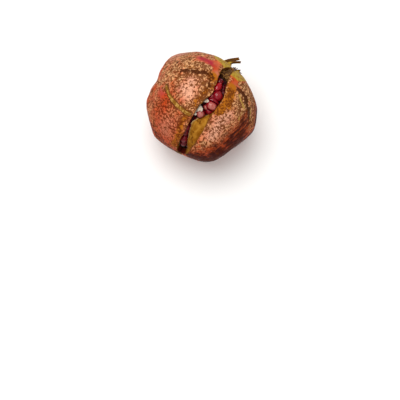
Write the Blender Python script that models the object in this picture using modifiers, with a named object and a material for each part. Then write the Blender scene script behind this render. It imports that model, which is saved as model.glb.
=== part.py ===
"""Open pomegranate: a ripe fruit that lies on its side, split from near its stem end to its crown.

Units are metres. +Z is up, and +X runs along the fruit towards the crown. The origin is on the
surface that the fruit rests on, under the middle of its box. Sizes below are in millimetres, and
the constant MM turns them into metres.

The rind is a slab bent round the fruit. A place on it has a run (0 at the stem end, 1 at the tips
of the crown), an angle about the fruit's axis (0 on top, growing towards +Y) and a depth under
the skin. The split is the gap between the slab's two long edges.
"""
import bisect
import math
import random

import bmesh
import bpy
import numpy as np
from mathutils import Matrix, Vector

MM = 0.001

# Middle of the body, from the origin
MIDDLE = (-2.86, 0.89, 39.8)

# Half outline of the body and crown: distance along the axis, then radius
OUTLINE = [(-36.5, 0.0), (-36.6, 3.0), (-37.3, 6.0), (-37.3, 10.0), (-34.2, 21.4), (-24.2, 33.7),
           (-8.0, 40.2), (8.0, 40.8), (22.4, 34.1), (30.3, 23.7), (32.7, 17.4), (33.9, 12.5),
           (35.3, 9.6), (37.7, 8.1), (40.1, 7.6), (42.5, 6.5), (45.2, 4.6)]
OUTLINE_STEPS = 24

# Six faint ribs, which fade out between these runs at either end
RIB_COUNT = 6
RIB_SHARE = 0.016
RIB_TURN = 0.35
RIB_START = (0.0, 0.18)
RIB_END = (0.74, 0.9)

# Lean of the stem end, which fades out between two runs, and the shoulders pressed flatter
LEAN = math.radians(15.5)
LEAN_FADE = (0.10, 0.72)
LEAN_AXIS = Vector((0.0, -0.74, 0.67)).normalized()
SHOULDERS = [((-0.18, 0.978, 0.106), 34.9),
             ((-0.748, 0.662, -0.049), 36.7),
             ((-0.278, -0.942, -0.189), 36.3)]
SHOULDER_SOFTNESS = 5.0

# Flat spot that the fruit rests on, below the body's middle
REST_DROP = 39.8

# Thickness of the rind along its run
WALL = [(0.0, 4.2), (0.70, 4.2), (0.82, 2.8), (0.90, 1.7), (1.0, 0.9)]

# Split: the angles in degrees of its two lips along the run, and how far each torn wall slopes
LEFT_LIP = [(0.031, -17.0), (0.06, -4.0), (0.09, 0.0), (0.13, -0.5), (0.21, -4.0), (0.29, -7.0),
            (0.39, -8.0), (0.47, -10.0), (0.515, -13.0), (0.56, -11.0), (0.60, -9.0), (0.64, -6.5),
            (0.68, -5.0), (0.72, -7.0), (0.78, -11.0), (0.86, -9.0), (1.0, -4.0)]
RIGHT_LIP = [(0.031, -17.0), (0.06, -31.0), (0.09, -34.0), (0.13, -31.5), (0.19, -27.0),
             (0.25, -26.0), (0.33, -26.0), (0.41, -24.5), (0.47, -24.5), (0.53, -24.5),
             (0.57, -22.5), (0.62, -19.0), (0.68, -16.5), (0.73, -16.5), (0.78, -19.5),
             (0.86, -27.0), (0.93, -33.0), (1.0, -36.0)]
RIGHT_SLOPE = [(0.031, 0.0), (0.06, 2.0), (0.10, 4.0), (0.14, 7.5), (0.19, 10.0), (0.25, 13.0),
               (0.30, 15.0), (0.34, 15.5), (0.37, 11.5), (0.40, 5.0), (0.43, 0.0), (0.47, -2.5),
               (0.60, -3.0), (0.75, -1.0), (1.0, 0.0)]
LEFT_SLOPE = [(0.031, 0.0), (0.15, 1.0), (0.35, 1.5), (0.50, 3.0), (0.70, 2.0), (1.0, 0.0)]

# Crown: pointed lobes from the split's left lip (0) round to its right one (1). Each grows from
# its root run; a length of 1 reaches the tips, and the rim between two lobes lies at the notch.
LOBE_ROOT = [(0.0, 0.89), (0.45, 0.89), (0.7, 0.87), (1.0, 0.87)]
LOBE_EDGES = [0.0, 0.03, 0.085, 0.145, 0.33, 0.45, 0.6, 0.75, 0.88, 1.0]
LOBE_LENGTHS = [0.42, 0.92, 0.30, 1.0, 0.5, 0.45, 0.4, 0.42, 0.6]
LOBE_NOTCH = 0.34
LOBE_POINT = 0.6
CROWN_SWAY = 5.5
CROWN_SWAY_FROM = 0.93

# Grid of the rind: columns crowd towards the crown, rows towards the split
COLUMNS = 42
ROWS = 46
COLUMN_CROWDING = 1.3
ROW_CROWDING = 0.5
SPLIT_COLUMN = 1

# Arils that show in the split: run, angle, depth of the tip, half widths across and along
SHOWN_ARILS = [(0.625, -12.0, 3.6, 2.5, 2.8), (0.580, -14.0, 2.6, 2.5, 3.9),
               (0.600, -19.5, 4.6, 2.2, 2.8), (0.535, -19.6, 2.5, 3.5, 3.3),
               (0.514, -14.8, 3.2, 2.3, 2.6), (0.494, -19.5, 3.0, 4.0, 2.4),
               (0.468, -20.2, 1.6, 3.7, 2.8), (0.447, -16.5, 3.2, 2.0, 1.9),
               (0.460, -13.2, 4.8, 1.9, 1.7), (0.402, -14.6, 2.3, 2.8, 2.9),
               (0.424, -21.5, 2.4, 2.0, 1.8), (0.440, -21.5, 3.3, 2.6, 2.4),
               (0.360, -15.0, 3.4, 2.4, 2.8)]

# The other arils, in rows under the rind
ARIL_ACROSS = 2.8
ARIL_ALONG = 3.3
ARIL_DEEP = 4.2
ARIL_TIP = 3.4
ARIL_SIZES = (0.88, 1.02)
ARIL_PITCH = 5.7
ARIL_NEAREST = 3.6
ARIL_ROW_RADIUS = 30.0
ARIL_ROWS = [-31.0, -22.5, -14.5, -6.0, 2.5]
ARIL_RUN_FROM = 0.13
ARIL_RUN_TO = 0.64
ARIL_SEED = 11
ARIL_CLEARANCE = 0.7
ARIL_SINK = 0.3
ARIL_DEEPEST = 9.0

# Seed mass that the arils grow on
SEED_MASS_DEPTH = 7.0
SEED_MASS_TO = 0.69
SEED_MASS_RINGS = 18
SEED_MASS_FACE = 15.0 / SEED_MASS_RINGS
SEED_MASS_SEGMENTS = 30

# White septum beside the left lip, torn along its top into flaps (run, width in run, rise)
SEPTUM_FROM = 0.375
SEPTUM_TO = 0.505
SEPTUM_TOP = 4.6
SEPTUM_FOOT = 6.0
SEPTUM_THICK = 0.9
SEPTUM_CLEARANCE = 0.45
SEPTUM_FLAPS = [(0.474, 0.012, 3.2), (0.420, 0.018, 3.4), (0.388, 0.008, 2.6)]
SEPTUM_GRID = (40, 4)

# Dried cup under the crown: distance from the axis and along it, then runs that it follows
CUP_FLOOR = [(0.0, 34.6), (3.6, 35.0), (5.2, 36.2), (6.0, 36.0)]
CUP_CLEARANCE = 1.2
CUP_RUNS = (0.92, 0.895, 0.87, 0.845, 0.82, 0.79, 0.76, 0.735, 0.715)
CUP_INNER_FACE = 19.0
CUP_INNER_CHAMFER = 1.5
CUP_STEPS = 32

# Stamens that stand in the cup
STAMEN_COUNT = 20
STAMEN_SEED = 5
STAMEN_RING = 3.9
STAMEN_ROOT = 34.4
STAMEN_LENGTH = (4.4, 6.0)
STAMEN_RADII = (0.55, 0.3)
STAMEN_LEAN = (-0.5, -0.3)
STAMEN_SPREAD = 0.1
STAMEN_TURN = math.radians(137.5)
STAMEN_SIDES = 6

# Woody stub at the stem end
STUB_RADII = (2.3, 2.6)
STUB_LENGTH = 1.2
STUB_CLEARANCE = 0.3
STUB_SEGMENTS = 14

# Corners closer than this are one corner
WELD = 0.01 * MM


def smooth_step(low, high, value):
    """Rise from 0 at low to 1 at high with level ends."""
    share = np.clip((value - low) / (high - low), 0.0, 1.0)
    return share * share * (3.0 - 2.0 * share)


def through(points, place):
    """Value at a place on a smooth line through a few points."""
    xs = np.array([point[0] for point in points])
    ys = np.array([point[1] for point in points])
    slopes = np.gradient(ys, xs)
    place = np.clip(place, xs[0], xs[-1])
    low = np.clip(np.searchsorted(xs, place) - 1, 0, len(xs) - 2)
    width = xs[low + 1] - xs[low]
    share = (place - xs[low]) / width
    rest = 1.0 - share
    return (ys[low] * (1.0 + 2.0 * share) * rest * rest
            + ys[low + 1] * (3.0 - 2.0 * share) * share * share
            + width * share * rest * (slopes[low] * rest - slopes[low + 1] * share))


def outline_curve():
    """Close-set points of the half outline, and how far along it each one lies."""
    points = [np.array(point) for point in OUTLINE]
    points.insert(0, np.array((OUTLINE[1][0], -OUTLINE[1][1])))
    points.append(2.0 * points[-1] - points[-2])
    curve = []
    for before, start, end, after in zip(points, points[1:], points[2:], points[3:]):
        for step in range(OUTLINE_STEPS):
            t = step / OUTLINE_STEPS
            curve.append(0.5 * (2.0 * start + (end - before) * t
                                + (2.0 * before - 5.0 * start + 4.0 * end - after) * t * t
                                + (3.0 * start - before - 3.0 * end + after) * t ** 3))
    curve.append(points[-2])
    curve = np.array(curve)
    lengths = np.linalg.norm(np.diff(curve, axis=0), axis=1)
    return curve, np.concatenate([[0.0], np.cumsum(lengths)])


CURVE, CURVE_LENGTHS = outline_curve()
RUN_LENGTH = CURVE_LENGTHS[-1]


def outline_at(run, depth):
    """Distance along the axis and radius, at a depth under the outline."""
    lengths = np.clip(run, 0.0, 1.0) * RUN_LENGTH
    along = np.interp(lengths, CURVE_LENGTHS, CURVE[:, 0])
    radius = np.interp(lengths, CURVE_LENGTHS, CURVE[:, 1])
    slopes = np.gradient(CURVE, CURVE_LENGTHS, axis=0)
    slope_along = np.interp(lengths, CURVE_LENGTHS, slopes[:, 0])
    slope_out = np.interp(lengths, CURVE_LENGTHS, slopes[:, 1])
    size = np.hypot(slope_along, slope_out)
    along = along + depth * slope_out / size
    radius = radius - depth * slope_along / size
    return along, np.where(run <= 0.0, 0.0, np.maximum(radius, 0.0))


def skin(run, angle, depth=0.0):
    """Place in millimetres from the body's middle, for a run, an angle and a depth."""
    along, radius = outline_at(run, depth)
    ribbed = smooth_step(*RIB_START, run) * (1.0 - smooth_step(*RIB_END, run))
    radius = radius * (1.0 + RIB_SHARE * math.cos(RIB_COUNT * (angle - RIB_TURN)) * ribbed)
    point = Vector((along, radius * math.sin(angle), radius * math.cos(angle)))
    point.rotate(Matrix.Rotation(LEAN * (1.0 - smooth_step(*LEAN_FADE, run)), 3, LEAN_AXIS))
    for direction, height in SHOULDERS:
        outward = Vector(direction).normalized()
        over = max(point.dot(outward) - height + depth, 0.0)
        point -= outward * over * over / (over + SHOULDER_SOFTNESS)
    point.y -= CROWN_SWAY * smooth_step(CROWN_SWAY_FROM, 1.0, run)
    return point


def lips(run, share):
    """Angles of the split's left and right walls, at a share of the wall's thickness."""
    left = through(LEFT_LIP, run) + share * through(LEFT_SLOPE, run)
    right = through(RIGHT_LIP, run) + share * through(RIGHT_SLOPE, run)
    return math.radians(left), math.radians(right)


def lobe_run(run, across):
    """Run pulled back from the crown's rim between its pointed lobes."""
    root = np.interp(across, *zip(*LOBE_ROOT))
    if run <= root:
        return run
    lobe = min(bisect.bisect_right(LOBE_EDGES, across), len(LOBE_LENGTHS)) - 1
    start, end = LOBE_EDGES[lobe], LOBE_EDGES[lobe + 1]
    rise = 1.0 - abs(2.0 * (across - start) / (end - start) - 1.0)
    reach = LOBE_NOTCH + (LOBE_LENGTHS[lobe] - LOBE_NOTCH) * max(rise, 0.0) ** LOBE_POINT
    return root + (run - root) * reach


def slab_mesh(columns, rows, place, is_seam=None):
    """Closed slab of a grid of cells, with each corner moved to place(along, across, through)."""
    bm = bmesh.new()
    bmesh.ops.create_grid(bm, x_segments=columns, y_segments=rows, size=1.0)
    grown = bmesh.ops.extrude_face_region(bm, geom=bm.faces[:], use_keep_orig=True)
    lower = [item for item in grown["geom"] if isinstance(item, bmesh.types.BMVert)]
    bmesh.ops.translate(bm, verts=lower, vec=(0.0, 0.0, -1.0))
    if is_seam:
        seam = [face for face in bm.faces if is_seam(face)]
        bmesh.ops.delete(bm, geom=seam, context="FACES")
    for vert in bm.verts:
        along, across, through_wall = (vert.co.x + 1.0) / 2.0, (vert.co.y + 1.0) / 2.0, -vert.co.z
        vert.co = (place(along, across, through_wall) + Vector(MIDDLE)) * MM
    bmesh.ops.remove_doubles(bm, verts=bm.verts[:], dist=WELD)
    bmesh.ops.recalc_face_normals(bm, faces=bm.faces[:])
    return bm


def make_object(name, bm, collection, material=None, smooth=True):
    """Object from a bmesh, linked to a collection."""
    mesh = bpy.data.meshes.new(name)
    bm.to_mesh(mesh)
    bm.free()
    if smooth:
        mesh.shade_smooth()
        mesh.set_sharp_from_angle(angle=math.radians(40.0))
    if material:
        mesh.materials.append(material)
    made = bpy.data.objects.new(name, mesh)
    collection.objects.link(made)
    return made


def make_material(name, colour, roughness, coat=0.0, transmission=0.0):
    """Principled material of one plain finish."""
    material = bpy.data.materials.new(name)
    material.use_nodes = True
    shader = material.node_tree.nodes["Principled BSDF"]
    shader.inputs["Base Color"].default_value = (*colour, 1.0)
    shader.inputs["Roughness"].default_value = roughness
    shader.inputs["Metallic"].default_value = 0.0
    shader.inputs["Coat Weight"].default_value = coat
    shader.inputs["Transmission Weight"].default_value = transmission
    return material


def fuse(base, collection):
    """Join a collection's objects to a base object as one body, and remove the collection."""
    union = base.modifiers.new("Fuse", "BOOLEAN")
    union.operation = "UNION"
    union.operand_type = "COLLECTION"
    union.collection = collection
    union.solver = "EXACT"
    bpy.context.view_layer.update()
    depsgraph = bpy.context.evaluated_depsgraph_get()
    fused = bpy.data.meshes.new_from_object(base.evaluated_get(depsgraph))
    base.modifiers.clear()
    base.data = fused
    for item in list(collection.objects):
        bpy.data.objects.remove(item, do_unlink=True)
    bpy.data.collections.remove(collection)


def make_rind(collection, material):
    """Rind with its crown, as one slab bent round the fruit and cut flat where it rests."""
    def place(along, across, through_wall):
        run = 1.0 - (1.0 - along) ** COLUMN_CROWDING
        across -= ROW_CROWDING * math.sin(math.tau * across) / math.tau
        left, right = lips(run, through_wall)
        angle = left + across * (right + math.tau - left)
        run = lobe_run(run, across)
        return skin(run, angle, through_wall * through(WALL, run))

    def is_seam(face):
        """Whether a side face is hidden where the slab's edges meet."""
        at_pole = all(vert.co.x < -0.999 for vert in face.verts)
        last_closed = -1.0 + 2.0 * SPLIT_COLUMN / COLUMNS + 0.001
        closed_edge = all(abs(vert.co.y) > 0.999 and vert.co.x < last_closed for vert in face.verts)
        return at_pole or closed_edge

    bm = slab_mesh(COLUMNS, ROWS, place, is_seam)
    loose = [edge for edge in bm.edges if not edge.link_faces]
    bmesh.ops.delete(bm, geom=loose, context="EDGES")
    floor = Vector((0.0, 0.0, (MIDDLE[2] - REST_DROP) * MM))
    everything = bm.verts[:] + bm.edges[:] + bm.faces[:]
    bmesh.ops.bisect_plane(bm, geom=everything, plane_co=floor, plane_no=(0.0, 0.0, -1.0),
                           clear_outer=True)
    rim = [edge for edge in bm.edges if edge.is_boundary]
    bmesh.ops.edgeloop_fill(bm, edges=rim)
    bmesh.ops.recalc_face_normals(bm, faces=bm.faces[:])
    return make_object("rind", bm, collection, material)


def aril_fits(corners, run, angle, tip):
    """Whether an aril with its tip at a depth stays clear of the rind and the septum."""
    radius = outline_at(run, 0.0)[1]
    for across, along, up in corners:
        here = run + along / RUN_LENGTH
        turn = angle + across / radius
        curve_drop = (across * across + along * along) / (2.0 * radius)
        depth = tip + ARIL_DEEP - up + curve_drop
        wall = through(WALL, here)
        if depth > wall + ARIL_CLEARANCE:
            continue
        left, right = lips(here, min(max(depth / wall, 0.0), 1.0))
        left_margin = ARIL_CLEARANCE
        if SEPTUM_FROM - 0.01 < here < SEPTUM_TO + 0.01:
            left_margin += SEPTUM_THICK + SEPTUM_CLEARANCE
        if turn > left - left_margin / radius or turn < right + ARIL_CLEARANCE / radius:
            return False
    return True


def aril_frame(run, angle, depth):
    """Turn and place of an aril whose middle lies at a depth: across, along and outwards."""
    middle = skin(run, angle, depth)
    outward = (skin(run, angle, depth - 1.0) - middle).normalized()
    along = skin(run + 0.01, angle, depth) - middle
    along = (along - outward * along.dot(outward)).normalized()
    across = along.cross(outward)
    frame = Matrix((across, along, outward)).transposed().to_4x4()
    frame.translation = (middle + Vector(MIDDLE)) * MM
    return frame


def aril_places():
    """Run, angle, depth of the tip and half widths of each aril, the shown ones first."""
    shown = [(place[0], math.radians(place[1]), *place[2:]) for place in SHOWN_ARILS]
    places = list(shown)
    chance = random.Random(ARIL_SEED)
    for row, angle in enumerate(ARIL_ROWS):
        start = ARIL_RUN_FROM + (row % 2) * 0.5 * ARIL_PITCH / RUN_LENGTH
        for run in np.arange(start, ARIL_RUN_TO, ARIL_PITCH / RUN_LENGTH):
            radius = float(outline_at(run, 0.0)[1])
            turn = math.radians(angle * ARIL_ROW_RADIUS / radius)
            size = chance.uniform(*ARIL_SIZES)
            nearest = min(math.hypot((run - other[0]) * RUN_LENGTH, (turn - other[1]) * radius)
                          for other in shown)
            if nearest > ARIL_NEAREST:
                places.append((run, turn, ARIL_TIP, ARIL_ACROSS * size, ARIL_ALONG * size))
    return places


def seed_mass_point(direction):
    """Place on the seed mass for a unit direction: under the skin, and level towards the crown."""
    turn = math.acos(min(max(-direction.z, -1.0), 1.0)) / math.pi
    angle = math.atan2(direction.y, direction.x)
    run = SEED_MASS_TO * min(turn / SEED_MASS_FACE, 1.0)
    point = skin(run, angle, SEED_MASS_DEPTH)
    share = max(turn - SEED_MASS_FACE, 0.0) / (1.0 - SEED_MASS_FACE)
    return point.lerp(Vector((point.x, 0.0, 0.0)), share)


def make_arils(collection, material):
    """Arils on their seed mass, fused into one body."""
    bm = bmesh.new()
    bmesh.ops.create_uvsphere(bm, u_segments=SEED_MASS_SEGMENTS, v_segments=SEED_MASS_RINGS,
                              radius=1.0)
    for vert in bm.verts:
        vert.co = (seed_mass_point(vert.co.normalized()) + Vector(MIDDLE)) * MM
    bmesh.ops.recalc_face_normals(bm, faces=bm.faces[:])
    arils = make_object("arils", bm, collection, material)
    single = bpy.data.collections.new("single arils")
    bpy.context.scene.collection.children.link(single)
    for number, (run, angle, tip, half_across, half_along) in enumerate(aril_places()):
        bm = bmesh.new()
        bmesh.ops.create_icosphere(bm, subdivisions=2, radius=1.0)
        bmesh.ops.scale(bm, vec=Vector((half_across, half_along, ARIL_DEEP)), verts=bm.verts)
        corners = [tuple(vert.co) for vert in bm.verts]
        while tip < ARIL_DEEPEST and not aril_fits(corners, run, angle, tip):
            tip += ARIL_SINK
        if tip >= ARIL_DEEPEST:
            bm.free()
            continue
        bmesh.ops.scale(bm, vec=Vector((MM, MM, MM)), verts=bm.verts)
        bmesh.ops.transform(bm, matrix=aril_frame(run, angle, tip + ARIL_DEEP), verts=bm.verts)
        make_object(f"aril {number}", bm, single)
    fuse(arils, single)
    return arils


def make_septum(collection, material):
    """White septum: a thin wall standing in the split beside its left lip."""
    def place(along, across, through_wall):
        run = SEPTUM_FROM + (SEPTUM_TO - SEPTUM_FROM) * along
        rise = sum(height * math.exp(-((run - middle) / width) ** 4)
                   for middle, width, height in SEPTUM_FLAPS)
        depth = SEPTUM_TOP - rise + (SEPTUM_FOOT - SEPTUM_TOP + rise) * across
        radius = outline_at(run, depth)[1]
        left = lips(run, min(depth / through(WALL, run), 1.0))[0]
        inset = SEPTUM_CLEARANCE + SEPTUM_THICK * through_wall
        return skin(run, left - inset / radius, depth)

    return make_object("septum", slab_mesh(*SEPTUM_GRID, place), collection, material)


def make_cup(collection, material):
    """Dried cup that closes the crown inside, a turned shape with stamens standing in it."""
    profile = list(CUP_FLOOR)
    for run in CUP_RUNS:
        along, radius = outline_at(run, through(WALL, run) + CUP_CLEARANCE)
        profile.append((float(radius), float(along)))
    profile += [(profile[-1][0] - CUP_INNER_CHAMFER, CUP_INNER_FACE), (0.0, CUP_INNER_FACE)]
    bm = bmesh.new()
    verts = [bm.verts.new((radius * MM, 0.0, along * MM)) for radius, along in profile]
    for start, end in zip(verts, verts[1:]):
        bm.edges.new((start, end))
    cup = make_object("calyx_cup", bm, collection, material, smooth=False)
    turn = cup.modifiers.new("Turn", "SCREW")
    turn.steps = CUP_STEPS
    turn.render_steps = CUP_STEPS
    turn.use_merge_vertices = True
    turn.merge_threshold = WELD
    cup.matrix_world = Matrix.Translation(Vector(MIDDLE) * MM) @ Matrix.Rotation(math.pi / 2.0, 4, "Y")
    bpy.context.view_layer.update()
    depsgraph = bpy.context.evaluated_depsgraph_get()
    turned = bpy.data.meshes.new_from_object(cup.evaluated_get(depsgraph))
    turned.transform(cup.matrix_world)
    cup.modifiers.clear()
    cup.data = turned
    cup.matrix_world = Matrix.Identity(4)
    stamens = bpy.data.collections.new("single stamens")
    bpy.context.scene.collection.children.link(stamens)
    chance = random.Random(STAMEN_SEED)
    for number in range(STAMEN_COUNT):
        reach = STAMEN_RING * math.sqrt((number + 0.5) / STAMEN_COUNT)
        angle = number * STAMEN_TURN
        length = chance.uniform(*STAMEN_LENGTH)
        bm = bmesh.new()
        bmesh.ops.create_cone(bm, cap_ends=True, segments=STAMEN_SIDES, radius1=STAMEN_RADII[0] * MM,
                              radius2=STAMEN_RADII[1] * MM, depth=length * MM)
        lean = chance.uniform(*STAMEN_LEAN)
        tilt = Vector((1.0, lean, chance.uniform(-STAMEN_SPREAD, STAMEN_SPREAD)))
        root = Vector((STAMEN_ROOT, reach * math.sin(angle), reach * math.cos(angle)))
        frame = tilt.to_track_quat("Z", "Y").to_matrix().to_4x4()
        frame.translation = (root + tilt.normalized() * length / 2.0 + Vector(MIDDLE)) * MM
        bmesh.ops.transform(bm, matrix=frame, verts=bm.verts)
        make_object(f"stamen {number}", bm, stamens)
    fuse(cup, stamens)
    return cup


def make_stub(collection, material):
    """Woody stub at the stem end."""
    pole = skin(0.0, 0.0)
    outward = (pole - skin(0.0, 0.0, 1.0)).normalized()
    bm = bmesh.new()
    bmesh.ops.create_cone(bm, cap_ends=True, segments=STUB_SEGMENTS, radius1=STUB_RADII[0] * MM,
                          radius2=STUB_RADII[1] * MM, depth=STUB_LENGTH * MM)
    frame = outward.to_track_quat("Z", "Y").to_matrix().to_4x4()
    middle = pole + outward * (STUB_CLEARANCE + STUB_LENGTH / 2.0)
    frame.translation = (middle + Vector(MIDDLE)) * MM
    bmesh.ops.transform(bm, matrix=frame, verts=bm.verts)
    return make_object("stem_stub", bm, collection, material)


def main():
    """Clear the scene and build the fruit."""
    for item in list(bpy.data.objects):
        bpy.data.objects.remove(item, do_unlink=True)
    fruit = bpy.data.collections.new("open_pomegranate")
    bpy.context.scene.collection.children.link(fruit)
    make_rind(fruit, make_material("rind", (0.60, 0.22, 0.10), 0.45))
    make_arils(fruit, make_material("arils", (0.45, 0.01, 0.03), 0.15, coat=0.5, transmission=0.3))
    make_septum(fruit, make_material("septum", (0.85, 0.80, 0.72), 0.6))
    make_cup(fruit, make_material("calyx cup", (0.16, 0.10, 0.05), 0.8))
    make_stub(fruit, make_material("stem stub", (0.20, 0.13, 0.07), 0.85))


main()
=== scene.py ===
"""Open pomegranate, dressed.

A ripe fruit lies on its side, split from near its stem end to its crown. Sizes are in
millimetres unless a name says otherwise, and MM turns them into metres. A place on the fruit has
a run (0 at the stem end, 1 at the tips of the crown), an angle about the fruit's axis (0 on top,
growing towards +Y) and a depth under the skin.
"""
import logging
import math
import random
from dataclasses import dataclass
from enum import Enum
from functools import cached_property
from typing import Sequence

import bmesh
import bpy
import numpy as np
from mathutils import Matrix, Vector, noise


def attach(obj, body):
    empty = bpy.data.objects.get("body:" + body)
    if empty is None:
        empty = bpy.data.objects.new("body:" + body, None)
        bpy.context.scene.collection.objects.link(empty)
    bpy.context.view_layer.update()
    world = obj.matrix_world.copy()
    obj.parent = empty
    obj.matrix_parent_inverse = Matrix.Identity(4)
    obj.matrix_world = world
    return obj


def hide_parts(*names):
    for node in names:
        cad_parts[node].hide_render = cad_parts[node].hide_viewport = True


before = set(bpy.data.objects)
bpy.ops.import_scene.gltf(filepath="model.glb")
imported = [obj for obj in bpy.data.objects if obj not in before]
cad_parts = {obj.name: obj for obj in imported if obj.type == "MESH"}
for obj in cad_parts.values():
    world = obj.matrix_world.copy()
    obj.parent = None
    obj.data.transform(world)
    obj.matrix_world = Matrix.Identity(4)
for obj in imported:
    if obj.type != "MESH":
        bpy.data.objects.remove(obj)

MM = 0.001
WELD = 0.004 * MM
# Flat slabs reach 1 unit each way, and what lies past this is on their rim.
RIM = 0.999
# Corners nearer than this to the end of the slab's width are on a torn wall.
NEAR = 1e-6
# Shares of the thickness under this are on the skin.
ON_SKIN = 0.01
# How far the torn grain's noise moves from the skin to the lining.
GRAIN_TURN = 7.0
# How fast the octaves of the fractal noise fade, and how much finer each is than the last.
FADING, FINER = 0.9, 2.0
# Power whose norm turns a ball into a rounded cube.
CUBE_POWER = 4
LOG = logging.getLogger("open_pomegranate")

Point = tuple[float, float]
Triple = tuple[float, float, float]
Colour = tuple[float, float, float, float]
Array = np.ndarray
Tree = bpy.types.NodeTree
Socket = bpy.types.NodeSocket
Mesh = bmesh.types.BMesh


class Ramp(Enum):
    """How a cover rises from its low level to its high one."""

    SOFT = "SMOOTHSTEP"
    EVEN = "LINEAR"


def linear(colour: str) -> Colour:
    """Turn an sRGB hex colour into a linear one.

    Args:
        colour: Six hex digits after a hash.

    Returns:
        Red, green, blue and an alpha of 1.
    """
    parts = [int(colour[at:at + 2], 16) / 255.0 for at in (1, 3, 5)]
    flat = [part / 12.92 if part <= 0.04045 else ((part + 0.055) / 1.055) ** 2.4 for part in parts]
    return (*flat, 1.0)


def per_metre(size_mm: float) -> float:
    """Texture scale that makes one feature about a size in millimetres."""
    return 1.0 / (size_mm * MM)


def add(tree: Tree, kind: str, inputs: dict | None = None, **settings) -> bpy.types.Node:
    """Add a node with its settings and its inputs.

    Args:
        tree: Node tree that takes the node.
        kind: Blender's name of the node type.
        inputs: Value or output socket for each input, by name or number.
        **settings: Attributes of the node.

    Returns:
        The new node.
    """
    made = tree.nodes.new(kind)
    for name, value in settings.items():
        setattr(made, name, value)
    for socket, value in (inputs or {}).items():
        if isinstance(value, Socket):
            tree.links.new(value, made.inputs[socket])
        else:
            made.inputs[socket].default_value = value
    return made


def new_material(name: str) -> bpy.types.Material:
    """Start a material.

    Args:
        name: The material's name.

    Returns:
        The material, whose node tree is empty.
    """
    material = bpy.data.materials.new(name)
    material.use_nodes = True
    material.node_tree.nodes.clear()
    return material


def smooth_step(low: float, high: float, value: Array) -> Array:
    """Rise from 0 at low to 1 at high with level ends."""
    share = np.clip((np.asarray(value, float) - low) / (high - low), 0.0, 1.0)
    return share * share * (3.0 - 2.0 * share)


def window(rise: Point, fall: Point, value: Array) -> Array:
    """Stay at 1 between a rise and a fall, and at 0 outside them."""
    return smooth_step(*rise, value) * (1.0 - smooth_step(*fall, value))


def through(points: Sequence[Point], place: Array) -> Array:
    """Values on a smooth line through a few points.

    Args:
        points: Places and values, in order of place.
        place: Where the line is read.

    Returns:
        The line's value at each place.
    """
    xs = np.array([point[0] for point in points])
    ys = np.array([point[1] for point in points])
    slopes = np.gradient(ys, xs)
    place = np.clip(np.asarray(place, float), xs[0], xs[-1])
    low = np.clip(np.searchsorted(xs, place) - 1, 0, len(xs) - 2)
    width = xs[low + 1] - xs[low]
    share = (place - xs[low]) / width
    rest = 1.0 - share
    return (ys[low] * (1.0 + 2.0 * share) * rest * rest
            + ys[low + 1] * (3.0 - 2.0 * share) * share * share
            + width * share * rest * (slopes[low] * rest - slopes[low + 1] * share))


def rough(points: Array, size: float, octaves: int = 3) -> Array:
    """Fractal noise of about -1 to 1 at points in millimetres, with features of a size."""
    return np.array([noise.fractal(Vector(point) / size, FADING, FINER, octaves) for point in points])


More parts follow.
